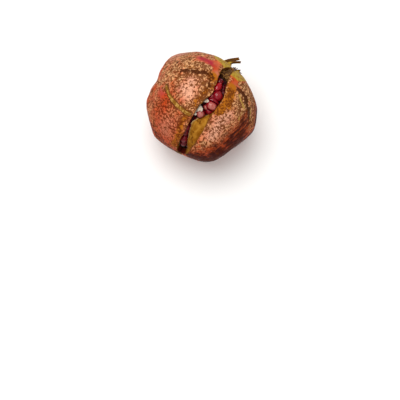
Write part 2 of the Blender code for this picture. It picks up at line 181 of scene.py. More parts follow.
@dataclass(frozen=True)
class FruitForm:
    """Grown form of the fruit, which every piece of it follows."""

    middle: Triple = (-2.86, 0.89, 39.8)
    outline: tuple[Point, ...] = (
        (-36.5, 0.0), (-36.6, 3.0), (-37.3, 6.0), (-37.3, 10.0), (-34.2, 21.4), (-24.2, 33.7),
        (-8.0, 40.2), (8.0, 40.8), (22.4, 34.1), (30.3, 23.7), (32.7, 17.4), (33.9, 12.5),
        (35.3, 9.6), (37.7, 8.1), (40.1, 7.6), (42.5, 6.9), (45.2, 5.6))
    outline_steps: int = 24
    rib_count: int = 6
    rib_share: float = 0.016
    rib_turn: float = 0.35
    rib_rise: Point = (0.0, 0.18)
    rib_fall: Point = (0.74, 0.9)
    lean: float = math.radians(15.5)
    lean_axis: Triple = (0.0, -0.74, 0.67)
    lean_over: Point = (0.10, 0.72)
    shoulders: tuple[tuple[Triple, float], ...] = (
        ((-0.18, 0.978, 0.106), 34.9), ((-0.748, 0.662, -0.049), 36.7),
        ((-0.278, -0.942, -0.189), 36.3))
    shoulder_softness: float = 5.0
    rest_drop: float = 39.8
    wall: tuple[Point, ...] = ((0.0, 4.2), (0.70, 4.2), (0.82, 2.8), (0.90, 1.8), (1.0, 2.1))
    left_lip: tuple[Point, ...] = (
        (0.031, -17.0), (0.06, -4.0), (0.09, 0.0), (0.13, -0.5), (0.21, -4.0), (0.29, -7.0),
        (0.39, -8.0),
        (0.47, -10.0), (0.515, -13.0), (0.56, -11.0), (0.60, -9.0), (0.64, -6.5), (0.68, -5.0),
        (0.72, -7.0), (0.78, -11.0), (0.86, -9.0), (1.0, -4.0))
    right_lip: tuple[Point, ...] = (
        (0.031, -17.0), (0.06, -31.0), (0.09, -34.0), (0.13, -31.5), (0.19, -27.0), (0.25, -26.0),
        (0.33, -26.0), (0.41, -24.5), (0.47, -24.5), (0.53, -24.5), (0.57, -22.5),
        (0.62, -19.0), (0.68, -16.5), (0.73, -16.5), (0.78, -19.5), (0.86, -27.0), (0.93, -33.0),
        (1.0, -36.0))
    right_slope: tuple[Point, ...] = (
        (0.031, 0.0), (0.06, 2.0), (0.10, 4.0), (0.14, 7.5), (0.19, 10.0), (0.25, 13.0), (0.30, 15.0),
        (0.34, 15.5), (0.37, 11.5), (0.40, 5.0), (0.43, 0.0), (0.47, -2.5), (0.60, -3.0),
        (0.75, -1.0), (1.0, 0.0))
    left_slope: tuple[Point, ...] = (
        (0.031, 0.0), (0.15, 1.0), (0.35, 1.5), (0.50, 3.0), (0.70, 2.0), (1.0, 0.0))
    crown_sway: float = 5.5
    crown_sway_from: float = 0.93

    @cached_property
    def curve(self) -> Array:
        """Close-set points of the half outline."""
        points = [np.array(point) for point in self.outline]
        points.insert(0, np.array((self.outline[1][0], -self.outline[1][1])))
        points.append(2.0 * points[-1] - points[-2])
        curve = []
        for before, start, end, after in zip(points, points[1:], points[2:], points[3:]):
            for step in range(self.outline_steps):
                t = step / self.outline_steps
                curve.append(0.5 * (2.0 * start + (end - before) * t
                                    + (2.0 * before - 5.0 * start + 4.0 * end - after) * t * t
                                    + (3.0 * start - before - 3.0 * end + after) * t ** 3))
        curve.append(points[-2])
        return np.array(curve)

    @cached_property
    def lengths(self) -> Array:
        """How far along the half outline each of its points lies."""
        steps = np.linalg.norm(np.diff(self.curve, axis=0), axis=1)
        return np.concatenate([[0.0], np.cumsum(steps)])

    @cached_property
    def run_length(self) -> float:
        """Length of the half outline from the stem end to the crown's tips."""
        return float(self.lengths[-1])

    def outline_at(self, run: Array, depth: Array) -> tuple[Array, Array]:
        """Find the half outline's place at a depth under it.

        Args:
            run: Share of the way from the stem end to the crown's tips.
            depth: Depth under the outline.

        Returns:
            Distance along the axis, and radius.
        """
        at = np.clip(run, 0.0, 1.0) * self.run_length
        slopes = np.gradient(self.curve, self.lengths, axis=0)
        slope_along = np.interp(at, self.lengths, slopes[:, 0])
        slope_out = np.interp(at, self.lengths, slopes[:, 1])
        size = np.hypot(slope_along, slope_out)
        along = np.interp(at, self.lengths, self.curve[:, 0]) + depth * slope_out / size
        radius = np.interp(at, self.lengths, self.curve[:, 1]) - depth * slope_along / size
        return along, np.where(np.asarray(run) <= 0.0, 0.0, np.maximum(radius, 0.0))

    def skin(self, run: Array, angle: Array, depth: Array | float = 0.0) -> Array:
        """Places on or under the skin.

        Args:
            run: Share of the way from the stem end to the crown's tips.
            angle: Angle about the axis, in radians.
            depth: Depth under the skin.

        Returns:
            Places from the frame's origin, with a last axis of x, y and z.
        """
        parts = (np.asarray(part, float) for part in (run, angle, depth))
        run, angle, depth = np.broadcast_arrays(*parts)
        along, radius = self.outline_at(run, depth)
        ribs = self.rib_share * np.cos(self.rib_count * (angle - self.rib_turn))
        radius = radius * (1.0 + ribs * window(self.rib_rise, self.rib_fall, run))
        point = np.stack([along, radius * np.sin(angle), radius * np.cos(angle)], -1)
        axis = np.array(self.lean_axis) / np.linalg.norm(self.lean_axis)
        turn = (self.lean * (1.0 - smooth_step(*self.lean_over, run)))[..., None]
        point = (point * np.cos(turn) + np.cross(axis, point) * np.sin(turn)
                 + axis * (point @ axis)[..., None] * (1.0 - np.cos(turn)))
        for direction, height in self.shoulders:
            outward = np.array(direction) / np.linalg.norm(direction)
            over = np.maximum(point @ outward - height + depth, 0.0)
            point = point - outward * (over * over / (over + self.shoulder_softness))[..., None]
        point[..., 1] -= self.crown_sway * smooth_step(self.crown_sway_from, 1.0, run)
        return point + np.array(self.middle)

    def outward(self, run: Array, angle: Array) -> Array:
        """Unit directions out of the skin."""
        step = self.skin(run, angle, 0.0) - self.skin(run, angle, 0.5)
        return step / np.linalg.norm(step, axis=-1, keepdims=True)

    def lips(self, run: Array, share: Array | float) -> tuple[Array, Array]:
        """Find the split's walls.

        Args:
            run: Share of the way from the stem end to the crown's tips.
            share: Share of the rind's thickness, from the skin inwards.

        Returns:
            Angles of the left and the right wall, in radians.
        """
        left = through(self.left_lip, run) + share * through(self.left_slope, run)
        right = through(self.right_lip, run) + share * through(self.right_slope, run)
        return np.radians(left), np.radians(right)

    @property
    def split_from(self) -> float:
        """Run at which the split begins."""
        return self.left_lip[0][0]


@dataclass(frozen=True)
class Mark:
    """A mark on the skin: a line of places and how wide it is."""

    places: tuple[Point, ...]
    width: float
    strength: float = 1.0

    def cover(self, form: FruitForm, points: Array) -> Array:
        """Find how strongly the mark covers points on the skin.

        Args:
            form: Form of the fruit.
            points: Points on its skin.

        Returns:
            From 0 far away to the mark's strength on its line, for each point.
        """
        runs = np.array([place[0] for place in self.places])
        angles = np.radians([place[1] for place in self.places])
        line = form.skin(runs, angles)
        nearest = np.full(len(points), np.inf)
        if len(line) == 1:
            nearest = np.linalg.norm(points - line[0], axis=1)
        for start, end in zip(line, line[1:]):
            reach = end - start
            share = np.clip((points - start) @ reach / (reach @ reach), 0.0, 1.0)
            nearest = np.minimum(nearest, np.linalg.norm(points - start - share[:, None] * reach, axis=1))
        return self.strength * np.exp(-(nearest / self.width) ** 2)


def flat_slab(columns: int, rows: int) -> Mesh:
    """Make a flat slab to bend: two grids a unit apart, joined round their rims.

    Args:
        columns: Faces along X, which is 2 units long.
        rows: Faces along Y, which is 2 units long too.

    Returns:
        The slab's bmesh, from Z 0 down to -1.
    """
    bm = bmesh.new()
    bmesh.ops.create_grid(bm, x_segments=columns, y_segments=rows, size=1.0)
    grown = bmesh.ops.extrude_face_region(bm, geom=bm.faces[:], use_keep_orig=True)
    lower = [item for item in grown["geom"] if isinstance(item, bmesh.types.BMVert)]
    bmesh.ops.translate(bm, verts=lower, vec=(0.0, 0.0, -1.0))
    return bm


def finish_object(name: str, bm: Mesh, material: bpy.types.Material,
                  sharp: float = 60.0) -> bpy.types.Object:
    """Make a bmesh an object of the fruit.

    Args:
        name: The object's name.
        bm: The bmesh, in metres, which is freed.
        material: The piece's material.
        sharp: Angle in degrees past which an edge stays sharp.

    Returns:
        The object, which rides on the fruit's body.
    """
    mesh = bpy.data.meshes.new(name)
    bm.to_mesh(mesh)
    bm.free()
    mesh.shade_smooth()
    mesh.set_sharp_from_angle(angle=math.radians(sharp))
    mesh.materials.append(material)
    made = bpy.data.objects.new(name, mesh)
    bpy.context.scene.collection.objects.link(made)
    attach(made, "root")
    LOG.info("%s: %d faces", name, len(mesh.polygons))
    return made


@dataclass(frozen=True)
class Cover:
    """Where something shows: patterns and attributes weighed, added and stretched between levels."""

    parts: dict[str, float]
    low: float = 0.0
    high: float = 1.0
    top: float = 1.0
    bottom: float = 0.0
    ramp: Ramp = Ramp.SOFT

    def build(self, tree: Tree, sources: dict[str, Socket]) -> Socket:
        """Build the cover's nodes.

        Args:
            tree: Node tree that takes them.
            sources: Socket of each pattern and attribute, by name.

        Returns:
            The socket that gives the cover, from its bottom to its top.
        """
        total: Socket | float = 0.0
        for name, weight in self.parts.items():
            total = add(tree, "ShaderNodeMath", {0: sources[name], 1: weight, 2: total},
                        operation="MULTIPLY_ADD").outputs[0]
        levels = {"Value": total, "From Min": self.low, "From Max": self.high, "To Min": self.bottom,
                  "To Max": self.top}
        ranged = add(tree, "ShaderNodeMapRange", levels, interpolation_type=self.ramp.value)
        return ranged.outputs["Result"]


def painted(name: str, weight: float = 1.0) -> Cover:
    """Cover that follows one attribute or pattern as it is."""
    return Cover({name: weight}, ramp=Ramp.EVEN)


@dataclass(frozen=True)
class Coat:
    """A colour of the rind, where it lies over those before it, and the flecks in it."""

    colour: str
    cover: Cover
    within: Cover | None = None
    flecks: tuple[tuple[str, Cover], ...] = ()


@dataclass(frozen=True)
class Pattern:
    """Noise with features of a size, which may be warped, or longer along the fruit's axis."""

    name: str
    size_mm: float
    detail: float
    warp: float = 0.0
    stretch: float = 1.0


@dataclass(frozen=True)
class RindFinish:
    """Rind of a ripe fruit: a waxy coral skin under corky russet, and ochre torn flesh.

    The wax's broad soft sheen is painted into the colour as peach highlights and a mauve rim. The cork is
    dull
    and stands a little proud: a net of brown strokes with tan islands between them. Each coat lies over
    the ones above it in the list.
    """

    # The finest real specks and cork lines are about 0.3 mm, too fine to show, so specks and
    # strokes are drawn coarser.
    patterns: tuple[Pattern, ...] = (
        Pattern("specks", 1.6, 1.0), Pattern("strokes", 3.2, 2.0, 1.2),
        Pattern("mottle", 5.0, 3.0, 0.4), Pattern("clouds", 16.0, 2.0),
        Pattern("streaks", 2.6, 3.0, 0.6, 3.5), Pattern("pores", 0.6, 1.0))
    attributes: tuple[str, ...] = (
        "coral", "mauve_sheen", "painted_highlight", "blush", "neck", "russet", "dark", "ochre", "straw", "scar", "painted_shade",
        "dry", "torn", "edge", "lining", "slit_shade")
    coral: str = "#b23f14"
    coats: tuple[Coat, ...] = (
        # Waxy skin: salmon clouds on coral, a painted mauve sheen on the smooth rim, painted peach
        # highlights where it shines, crimson blushes.
        Coat("#cd6f42", Cover({"clouds": 1.0}, 0.38, 0.62)),
        Coat("#b23f14", painted("coral")),
        Coat("#ab6e54", painted("mauve_sheen"), Cover({"clouds": 1.0}, 0.3, 0.55)),
        Coat("#d49a7c", painted("painted_highlight")),
        Coat("#962534", painted("blush"), Cover({"mottle": 1.0}, 0.2, 0.5)),
        # Yellow neck with brown streaks.
        Coat("#a88a30", Cover({"mottle": 0.9, "neck": 1.0}, 0.65, 1.25),
             flecks=(("#8f6420", Cover({"streaks": 1.0}, 0.4, 0.65)),)),
        # Russet: tan islands, golden ochre beside the split, and brown cork, redder on the coral.
        Coat("#c89a6a", painted("tan"), painted("bare")),
        Coat("#a05c14", Cover({"strokes": 0.8, "ochre": 1.0}, 0.75, 1.15)),
        Coat("#5a270b", painted("cork", 0.9), flecks=(("#571403", painted("coral")),)),
        Coat("#3f1a08", Cover({"strokes": 1.2, "specks": 0.9, "dark": 1.0}, 1.4, 1.65, 0.92)),
        Coat("#b08a42", Cover({"strokes": 1.2, "straw": 1.0}, 1.1, 1.3, 0.85)),
        # Scar: a dark rim round a healed olive core.
        Coat("#3f1a08", Cover({"mottle": 0.5, "scar": 1.0}, 0.37, 0.65, 0.75)),
        Coat("#7a5018", Cover({"mottle": 0.5, "scar": 1.0}, 0.67, 0.87),
             flecks=(("#ab8342", Cover({"specks": 1.0}, 0.5, 0.62)),)),
        # Painted shade on the side turned from the light: deep red-brown streaked along the fruit, near
        # black where the shade is deepest.
        Coat("#5e1308", Cover({"mottle": 0.9, "painted_shade": 1.0}, 0.65, 1.25, 0.8),
             flecks=(("#a8401a", Cover({"streaks": 1.0}, 0.42, 0.6)),)),
        Coat("#330602", Cover({"streaks": -1.4, "mottle": 0.9, "painted_shade": 1.0}, 0.15, 0.65, 0.9)),
        # Dried crown, and the browned lip of the split.
        Coat("#5f3a14", Cover({"strokes": 0.8, "dry": 1.0}, 0.75, 1.15)),
        Coat("#5f3405", Cover({"specks": 0.5, "edge": 1.0}, 0.75, 1.1, 0.7)),
        # Torn flesh with paler and darker patches, the pale lining, and painted shade deep in the split's
        # walls.
        Coat("#7d4a0a", painted("flesh"),
             flecks=(("#a37024", Cover({"mottle": 1.0}, 0.35, 0.7)),
                     ("#5f3405", Cover({"strokes": 1.0}, 0.54, 0.66)))),
        Coat("#d8c08c", painted("lining")),
        Coat("#4a0807", painted("slit_shade")))
    line_cover: Cover = Cover({"line": 1.0, "mottle": -0.066, "russet": -0.06},
                              -0.053, -0.018, 0.0, 1.0)
    dot_cover: Cover = Cover({"specks": 1.0, "mottle": 0.132, "russet": 0.12}, 0.666, 0.706)
    cork_cover: Cover = Cover({"mottle": 1.1, "russet": 1.0}, 0.65, 1.05)
    tan_cover: Cover = Cover({"mottle": 1.9, "russet": 1.0}, 1.25, 1.8, 0.85)
    flesh_cover: Cover = Cover({"specks": 0.12, "torn": 1.0}, 0.06, 0.16)
    dullness: Cover = Cover({"cork": 1.0, "neck": 1.0, "tan": 1.0, "flesh": 1.0},
                            0.0, 2.0, 0.70, 0.40, Ramp.EVEN)
    height: Cover = Cover({"pores": 0.4, "specks": 0.7, "cork": 1.0}, 0.0, 3.0, 3.0, ramp=Ramp.EVEN)
    coral_hides_tan: float = 0.85
    bump_mm: float = 0.14

    def material(self) -> bpy.types.Material:
        """Build the rind's material.

        Returns:
            The material, which reads Object coordinates and the rind's own attributes.
        """
        material = new_material("pomegranate rind, waxed and russeted")
        tree = material.node_tree
        sources = self.sources(tree)
        colour: Socket | Colour = linear(self.coral)
        for coat in self.coats:
            share = coat.cover.build(tree, sources)
            if coat.within:
                share = add(tree, "ShaderNodeMath", {0: share, 1: coat.within.build(tree, sources)},
                            operation="MULTIPLY").outputs[0]
            paint: Socket | Colour = linear(coat.colour)
            for fleck, cover in coat.flecks:
                ends = {0: cover.build(tree, sources), 6: paint, 7: linear(fleck)}
                paint = add(tree, "ShaderNodeMix", ends, data_type="RGBA").outputs[2]
            ends = {0: share, 6: colour, 7: paint}
            colour = add(tree, "ShaderNodeMix", ends, data_type="RGBA").outputs[2]
        bump = add(tree, "ShaderNodeBump", {"Height": self.height.build(tree, sources), "Strength": 0.6,
                                            "Distance": self.bump_mm * MM}).outputs["Normal"]
        shader = add(tree, "ShaderNodeBsdfPrincipled", {
            "Base Color": colour, "Roughness": self.dullness.build(tree, sources), "Normal": bump,
            "IOR": 1.45, "Specular IOR Level": 0.03})
        add(tree, "ShaderNodeOutputMaterial", {"Surface": shader.outputs[0]})
        return material

    def sources(self, tree: Tree) -> dict[str, Socket]:
        """Build the patterns and attributes that the coats read.

        Args:
            tree: Node tree that takes them.

        Returns:
            Each one's socket, by name.
        """
        place = add(tree, "ShaderNodeTexCoord").outputs["Object"]
        found = {name: add(tree, "ShaderNodeAttribute", attribute_name=name).outputs["Fac"]
                 for name in self.attributes}
        for pattern in self.patterns:
            turned = add(tree, "ShaderNodeMapping", {
                "Vector": place, "Scale": (1.0 / pattern.stretch, 1.0, 1.0)})
            found[pattern.name] = add(tree, "ShaderNodeTexNoise", {
                "Vector": turned.outputs[0], "Scale": per_metre(pattern.size_mm), "Detail": pattern.detail,
                "Roughness": 0.55, "Distortion": pattern.warp}).outputs["Fac"]
        found["tan"] = self.tan_cover.build(tree, found)
        found["flesh"] = self.flesh_cover.build(tree, found)
        # Cork grows in thin lines, where the stroke noise crosses its middle, and in dots.
        side = add(tree, "ShaderNodeMath", {0: found["strokes"], 1: 0.5}, operation="SUBTRACT")
        line = add(tree, "ShaderNodeMath", {0: side.outputs[0]}, operation="ABSOLUTE")
        found["line"] = line.outputs[0]
        ends = {0: self.line_cover.build(tree, found), 1: self.dot_cover.build(tree, found)}
        marks = add(tree, "ShaderNodeMath", ends, operation="MAXIMUM")
        ends = {0: marks.outputs[0], 1: self.cork_cover.build(tree, found)}
        found["cork"] = add(tree, "ShaderNodeMath", ends, operation="MULTIPLY").outputs[0]
        # Tan is left out under the painted highlights, and nearly so where the skin is coral.
        ends = {0: found["coral"], 1: self.coral_hides_tan}
        ripe = add(tree, "ShaderNodeMath", ends, operation="MULTIPLY")
        plain = add(tree, "ShaderNodeMath", {0: found["painted_highlight"], 1: ripe.outputs[0]}, operation="MAXIMUM")
        bare = add(tree, "ShaderNodeMath", {0: 1.0, 1: plain.outputs[0]}, operation="SUBTRACT")
        found["bare"] = bare.outputs[0]
        return found


@dataclass(frozen=True)
class ArilFinish:
    """Juice sac over a pale seed: wet skin with a soft gloss, and light that passes into the flesh.

    The seed shows as a milky swirl on top. Painted shade darkens the creases where arils meet, their sides
    and the arils deeper in, and the creases are dull.
    """

    ruby: str = "#4e0510"
    cherry: str = "#8f0716"
    shade_garnet: str = "#2c0206"
    milk: str = "#b06a5c"
    swirl_mm: float = 2.5
    depth_mm: float = 1.6
    milk_spread: Point = (0.1, 0.5)
    roughness: Point = (0.2, 0.75)
    coat: Point = (0.25, 0.0)

    def material(self) -> bpy.types.Material:
        """Build the arils' material.

        Returns:
            The material, which reads Object coordinates and the arils' own attributes.
        """
        material = new_material("pomegranate aril, wet juice sac")
        tree = material.node_tree
        place = add(tree, "ShaderNodeTexCoord").outputs["Object"]
        swirl = add(tree, "ShaderNodeTexNoise", {
            "Vector": place, "Scale": per_metre(self.swirl_mm), "Detail": 2.0})
        tint, seed, crease_shade = (add(tree, "ShaderNodeAttribute", attribute_name=name).outputs["Fac"]
                              for name in ("tint", "seed", "crease_shade"))
        swirled = add(tree, "ShaderNodeMath", {0: seed, 1: swirl.outputs["Fac"]}, operation="MULTIPLY")
        milky = add(tree, "ShaderNodeMapRange", {
            "Value": swirled.outputs[0], "From Min": self.milk_spread[0],
            "From Max": self.milk_spread[1]}).outputs["Result"]
        flesh: Socket | Colour = linear(self.ruby)
        # Garnet is painted shade, laid over the creases, the sides and the arils deeper in.
        for share, colour in ((tint, self.cherry), (milky, self.milk), (crease_shade, self.shade_garnet)):
            ends = {0: share, 6: flesh, 7: linear(colour)}
            flesh = add(tree, "ShaderNodeMix", ends, data_type="RGBA").outputs[2]
        dull, wet = (add(tree, "ShaderNodeMapRange", {
            "Value": crease_shade, "To Min": bare, "To Max": creased}).outputs["Result"]
            for bare, creased in (self.roughness, self.coat))
        shader = add(tree, "ShaderNodeBsdfPrincipled", {
            "Base Color": flesh, "Roughness": dull, "IOR": 1.37, "Specular IOR Level": 0.3,
            "Subsurface Weight": 0.35, "Subsurface Radius": (1.0, 0.2, 0.15),
            "Subsurface Scale": self.depth_mm * MM, "Coat Weight": wet, "Coat Roughness": 0.06})
        add(tree, "ShaderNodeOutputMaterial", {"Surface": shader.outputs[0]})
        return material


@dataclass(frozen=True)
class DryFinish:
    """Plain plant tissue, dried or fresh: dull and fibrous, its fibre grain painted darker in its hollows
    as shade, and darker at withered ends.
    """

    name: str
    light: str
    dark: str
    fibre_mm: float = 1.2
    roughness: float = 0.8
    bump_mm: float = 0.3
    spread: Point = (0.35, 0.65)

    def material(self) -> bpy.types.Material:
        """Build the tissue's material.

        Returns:
            The material, which reads Object coordinates and an attribute for withered ends.
        """
        material = new_material(self.name)
        tree = material.node_tree
        place = add(tree, "ShaderNodeTexCoord").outputs["Object"]
        fibres = add(tree, "ShaderNodeTexNoise", {
            "Vector": place, "Scale": per_metre(self.fibre_mm), "Detail": 4.0, "Roughness": 0.65,
            "Distortion": 0.8}).outputs["Fac"]
        # Painted shade: the fibres' colour darkens where they sink into hollows and lightens where they
        # stand proud, as the bump does.
        proud = add(tree, "ShaderNodeMapRange", {
            "Value": fibres, "From Min": self.spread[0], "From Max": self.spread[1]}).outputs["Result"]
        withered = add(tree, "ShaderNodeAttribute", attribute_name="withered").outputs["Fac"]
        colour: Socket | Colour = linear(self.dark)
        for share, paint in ((proud, self.light), (withered, self.dark)):
            ends = {0: share, 6: colour, 7: linear(paint)}
            colour = add(tree, "ShaderNodeMix", ends, data_type="RGBA").outputs[2]
        bump = add(tree, "ShaderNodeBump", {
            "Height": fibres, "Strength": 0.8, "Distance": self.bump_mm * MM})
        shader = add(tree, "ShaderNodeBsdfPrincipled", {
            "Base Color": colour, "Roughness": self.roughness, "Normal": bump.outputs["Normal"],
            "Specular IOR Level": 0.15})
        add(tree, "ShaderNodeOutputMaterial", {"Surface": shader.outputs[0]})
        return material


@dataclass
class Corners:
    """Corners of the rind's slab, with one value or place for each."""

    run: Array
    angle: Array
    across: Array
    share: Array
    on_wall: Array
    from_lip: Array
    split_open: Array
    skin: Array


@dataclass
class Rind:
    """Rind and crown: one slab bent round the fruit, open along the split.

    A corner's across goes from 0 at the left lip, round the fruit, to 1 at the right one, and its
    share from 0 on the skin to 1 on the lining.
    """

    form: FruitForm
    columns: int = 190
    rows: int = 226
    column_crowding: float = 1.3
    row_crowding: float = 0.6
    wall_cuts: int = 9
    lobe_root: tuple[Point, ...] = ((0.0, 0.89), (0.45, 0.89), (0.7, 0.87), (1.0, 0.87))
    lobe_edges: tuple[float, ...] = (0.0, 0.03, 0.085, 0.145, 0.33, 0.45, 0.6, 0.75, 0.88, 1.0)
    lobe_lengths: tuple[float, ...] = (0.42, 0.92, 0.30, 1.0, 0.5, 0.45, 0.4, 0.42, 0.6)
    lobe_notch: float = 0.34
    lobe_point: float = 0.6
    crown_from: float = 0.88
    strip: Point = (0.145, 0.33)
    strip_bend: Point = (0.92, 1.0)
    strip_shift: Triple = (1.8, 0.5, 0.4)
    lump_mm: float = 17.0
    lump_height: float = 0.55
    dimple_mm: float = 5.0
    dimple_height: float = 0.14
    lumps_rise: Point = (0.02, 0.12)
    lumps_fall: Point = (0.80, 0.9)
    split_opens: float = 0.03
    lip_jitter: float = 0.4
    lip_jitter_mm: float = 2.6
    lip_jitter_reach: float = 2.0
    lip_roll: float = 0.55
    lip_roll_reach: float = 1.1
    torn_relief: float = 0.35
    torn_grain_mm: float = 1.5
    slab_rise: Point = (0.1, 0.22)
    slab_fall: Point = (0.36, 0.44)
    slab_belly: float = 1.1
    scar: Mark = Mark(
        ((0.442, 35.0), (0.418, 29.0), (0.392, 19.0), (0.380, 10.0), (0.374, 2.0), (0.374, -4.0)), 1.5)
    scar_depth: float = 0.9
    furrow: Mark = Mark(
        ((0.49, 90.0), (0.47, 70.0), (0.46, 53.0), (0.44, 36.0), (0.42, 28.0), (0.40, 18.0)), 4.5)
    furrow_depth: float = 1.3
    # Painted shade lies on the skin that faces this way, and fades where the skin turns from the upper
    # side.
    shaded_toward: Triple = (-0.04, -0.80, -0.60)
    shade_facing: Point = (0.0, 0.6)
    shade_faded: float = 0.8
    shade_fades: Point = (-0.05, 0.6)
    upper_side: Triple = (-0.19, -0.14, 0.97)
    # Painted shade on the split's walls, near the stem end and near the cup.
    shade_foot: Point = (0.075, 0.12)
    shade_cup: Point = (0.6, 0.7)
    shade_shares: Point = (0.95, 0.6)
    torn_starts: float = 6.0
    lining_edge: Point = (0.94, 1.0)
    lining_on_wall: float = 0.7
    lining_fades: Point = (0.84, 0.92)
    lip_dark_reach: float = 0.9
    neck_blend: float = 0.05
    neck_from: tuple[Point, ...] = (
        (-180.0, 0.83), (-90.0, 0.82), (-50.0, 0.78), (-36.0, 0.70), (-28.0, 0.655), (-20.0, 0.65),
        (0.0, 0.68), (12.0, 0.70), (30.0, 0.78), (50.0, 0.84), (90.0, 0.84), (180.0, 0.83))
    dry_crown: Point = (0.90, 0.98)
    dry_share: float = 0.9
    dry_tips: Point = (0.75, 1.0)
    tips_from: float = 0.9
    russet_back: float = 0.42
    russet_top: float = 0.3
    russet_spread: float = 1.6
    russet_turn: float = 0.2
    russet_gone: tuple[tuple[str, float], ...] = (
        ("neck", 0.8), ("blush", 0.6), ("mauve_sheen", 0.35), ("painted_highlight", 0.25), ("bare", 1.0))
    marks: tuple[tuple[str, tuple[Mark, ...]], ...] = (
        ("dark", (
            Mark(((0.535, 26.0), (0.555, 18.0), (0.57, 11.0), (0.59, 4.0)), 2.2, 0.8),
            Mark(((0.6, -1.0), (0.57, -4.0), (0.53, -7.0)), 1.8, 0.6),
            Mark(((0.638, -33.0), (0.636, -42.0), (0.61, -49.0), (0.585, -56.0)), 2.6, 0.9),
            Mark(((0.59, -60.0), (0.555, -65.0)), 3.0, 0.8),
            Mark(((0.57, 40.0),), 1.8, 0.8),
            # Painted shadow: a thin dark line under a sepal of the crown, running down onto the neck.
            Mark(((0.915, 52.0), (0.935, 48.0), (0.955, 46.0)), 0.8, 0.8),
            Mark(((0.2, -48.0), (0.22, -59.0), (0.25, -63.0)), 2.6, 0.6))),
        ("ochre", (
            Mark(((0.59, -5.0), (0.55, -8.0), (0.48, -6.0), (0.42, -4.0)), 4.5, 0.65),
            Mark(((0.57, 25.0), (0.58, 12.0), (0.6, 2.0)), 5.0, 0.5),
            Mark(((0.62, -27.0), (0.52, -28.0), (0.46, -27.0)), 2.5, 0.6),
            Mark(((0.62, -24.0), (0.57, -29.0), (0.52, -34.0), (0.47, -30.0)), 5.0, 0.65),
            Mark(((0.72, -58.0), (0.68, -65.0), (0.62, -73.0), (0.56, -79.0)), 4.5, 0.6),
            Mark(((0.37, -1.0), (0.29, 0.0), (0.22, 1.0), (0.15, 8.0)), 3.4, 0.75))),
        ("blush", (
            Mark(((0.656, 22.0), (0.662, 15.0), (0.66, 9.0)), 4.0),
            Mark(((0.635, -27.0),), 3.0, 0.25),
            Mark(((0.415, 40.0), (0.4, 34.0)), 3.5, 0.6))),
        ("straw", (
            Mark(((0.616, -33.0), (0.588, -42.0), (0.576, -50.0), (0.518, -50.0), (0.48, -56.0)), 1.6, 0.7),
            Mark(((0.65, -50.0), (0.61, -60.0), (0.57, -68.0), (0.53, -74.0)), 1.5, 0.65))),
        ("bare", (
            Mark(((0.46, 5.0), (0.44, 8.0)), 5.0, 0.25),
            Mark(((0.26, 33.0), (0.21, 22.0), (0.16, 15.0)), 8.0, 0.28),
            Mark(((0.68, 6.0), (0.655, 0.0), (0.63, -3.0), (0.6, -7.0)), 2.8, 0.7),
            Mark(((0.63, -25.0), (0.64, -32.0)), 3.6, 0.6))),
        ("painted_highlight", (
            # Painted highlights: broad peach shine on the two bulges, and a softer one lower on the left.
            Mark(((0.47, 12.0), (0.45, 5.0), (0.51, 10.0)), 5.5, 0.95),
            Mark(((0.46, -34.0), (0.48, -38.0), (0.41, -36.0), (0.34, -38.0)), 6.0, 0.9),
            Mark(((0.29, 16.0), (0.23, 22.0)), 7.0, 0.35))),
        ("coral", (
            Mark(((0.36, 28.0), (0.29, 28.0), (0.27, 12.0), (0.2, 27.0)), 14.0, 1.0),
            Mark(((0.4, -70.0), (0.25, -60.0), (0.15, -50.0)), 12.0, 0.8),
            Mark(((0.45, 120.0), (0.45, 180.0), (0.45, -120.0)), 30.0, 0.7))),
        ("mauve_sheen", (
            # Smooth skin with a painted mauve sheen along the upper rim and beside the lips.
            Mark(((0.74, 60.0), (0.62, 66.0), (0.5, 68.0), (0.38, 72.0)), 15.0, 0.85),
            Mark(((0.67, 4.0), (0.638, -1.0), (0.618, -6.0)), 2.8, 0.8),
            Mark(((0.638, -26.0), (0.642, -34.0)), 3.5, 0.7))),
        ("painted_shade", (
            # Painted shade: contact shade along the lower-left and bottom edges, and less of it low on the
            # right side.
            Mark(((0.27, 66.0), (0.2, 54.0), (0.14, 45.0), (0.09, 60.0)), 7.0, 0.65),
            Mark(((0.14, -60.0), (0.12, -36.0)), 5.0, 0.5),
            Mark(((0.64, -60.0), (0.6, -70.0), (0.56, -78.0)), 7.0, -0.85))),
        ("russet", (
            Mark(((0.63, -5.0), (0.56, -8.0), (0.49, -7.0), (0.43, -5.0)), 7.0, 0.25),
            Mark(((0.6, 25.0), (0.56, 10.0), (0.6, 0.0)), 8.0, 0.25),
            Mark(((0.64, -37.0), (0.61, -45.0), (0.55, -60.0)), 9.0, 0.25))))

    def pulled_back(self, run: Array, across: Array) -> Array:
        """Pull corners back from the rim between the crown's pointed lobes.

        Args:
            run: Even runs of the corners.
            across: Where they lie across the slab.

        Returns:
            Their runs on the lobed crown.
        """
        edges = np.array(self.lobe_edges)
        lengths = np.array(self.lobe_lengths)
        lobe = np.clip(np.searchsorted(edges, across, side="right") - 1, 0, len(lengths) - 1)
        rise = 1.0 - np.abs(2.0 * (across - edges[lobe]) / (edges[lobe + 1] - edges[lobe]) - 1.0)
        reach = self.lobe_notch + (lengths[lobe] - self.lobe_notch) * rise ** self.lobe_point
        root = np.interp(across, *zip(*self.lobe_root))
        return np.where(run > root, root + (run - root) * reach, run)

    def relief(self, points: Array, body: Array) -> Array:
        """Find how far the skin stands out.

        Args:
            points: Points on the skin.
            body: Share of the lumps at each, which end at the poles.

        Returns:
            Height of each point.
        """
        lumps = self.lump_height * rough(points, self.lump_mm, 2)
        lumps = lumps + self.dimple_height * rough(points, self.dimple_mm, 2)
        groove = self.scar_depth * self.scar.cover(self.form, points)
        return body * lumps - groove - self.furrow_depth * self.furrow.cover(self.form, points)

    def build(self) -> bpy.types.Object:
        """Build the rind and dress it.

        Returns:
            The rind, which stands for the node of its name.
        """
        bm = flat_slab(self.columns, self.rows)
        last_closed = self.closed_share() * 2.0 - 1.0
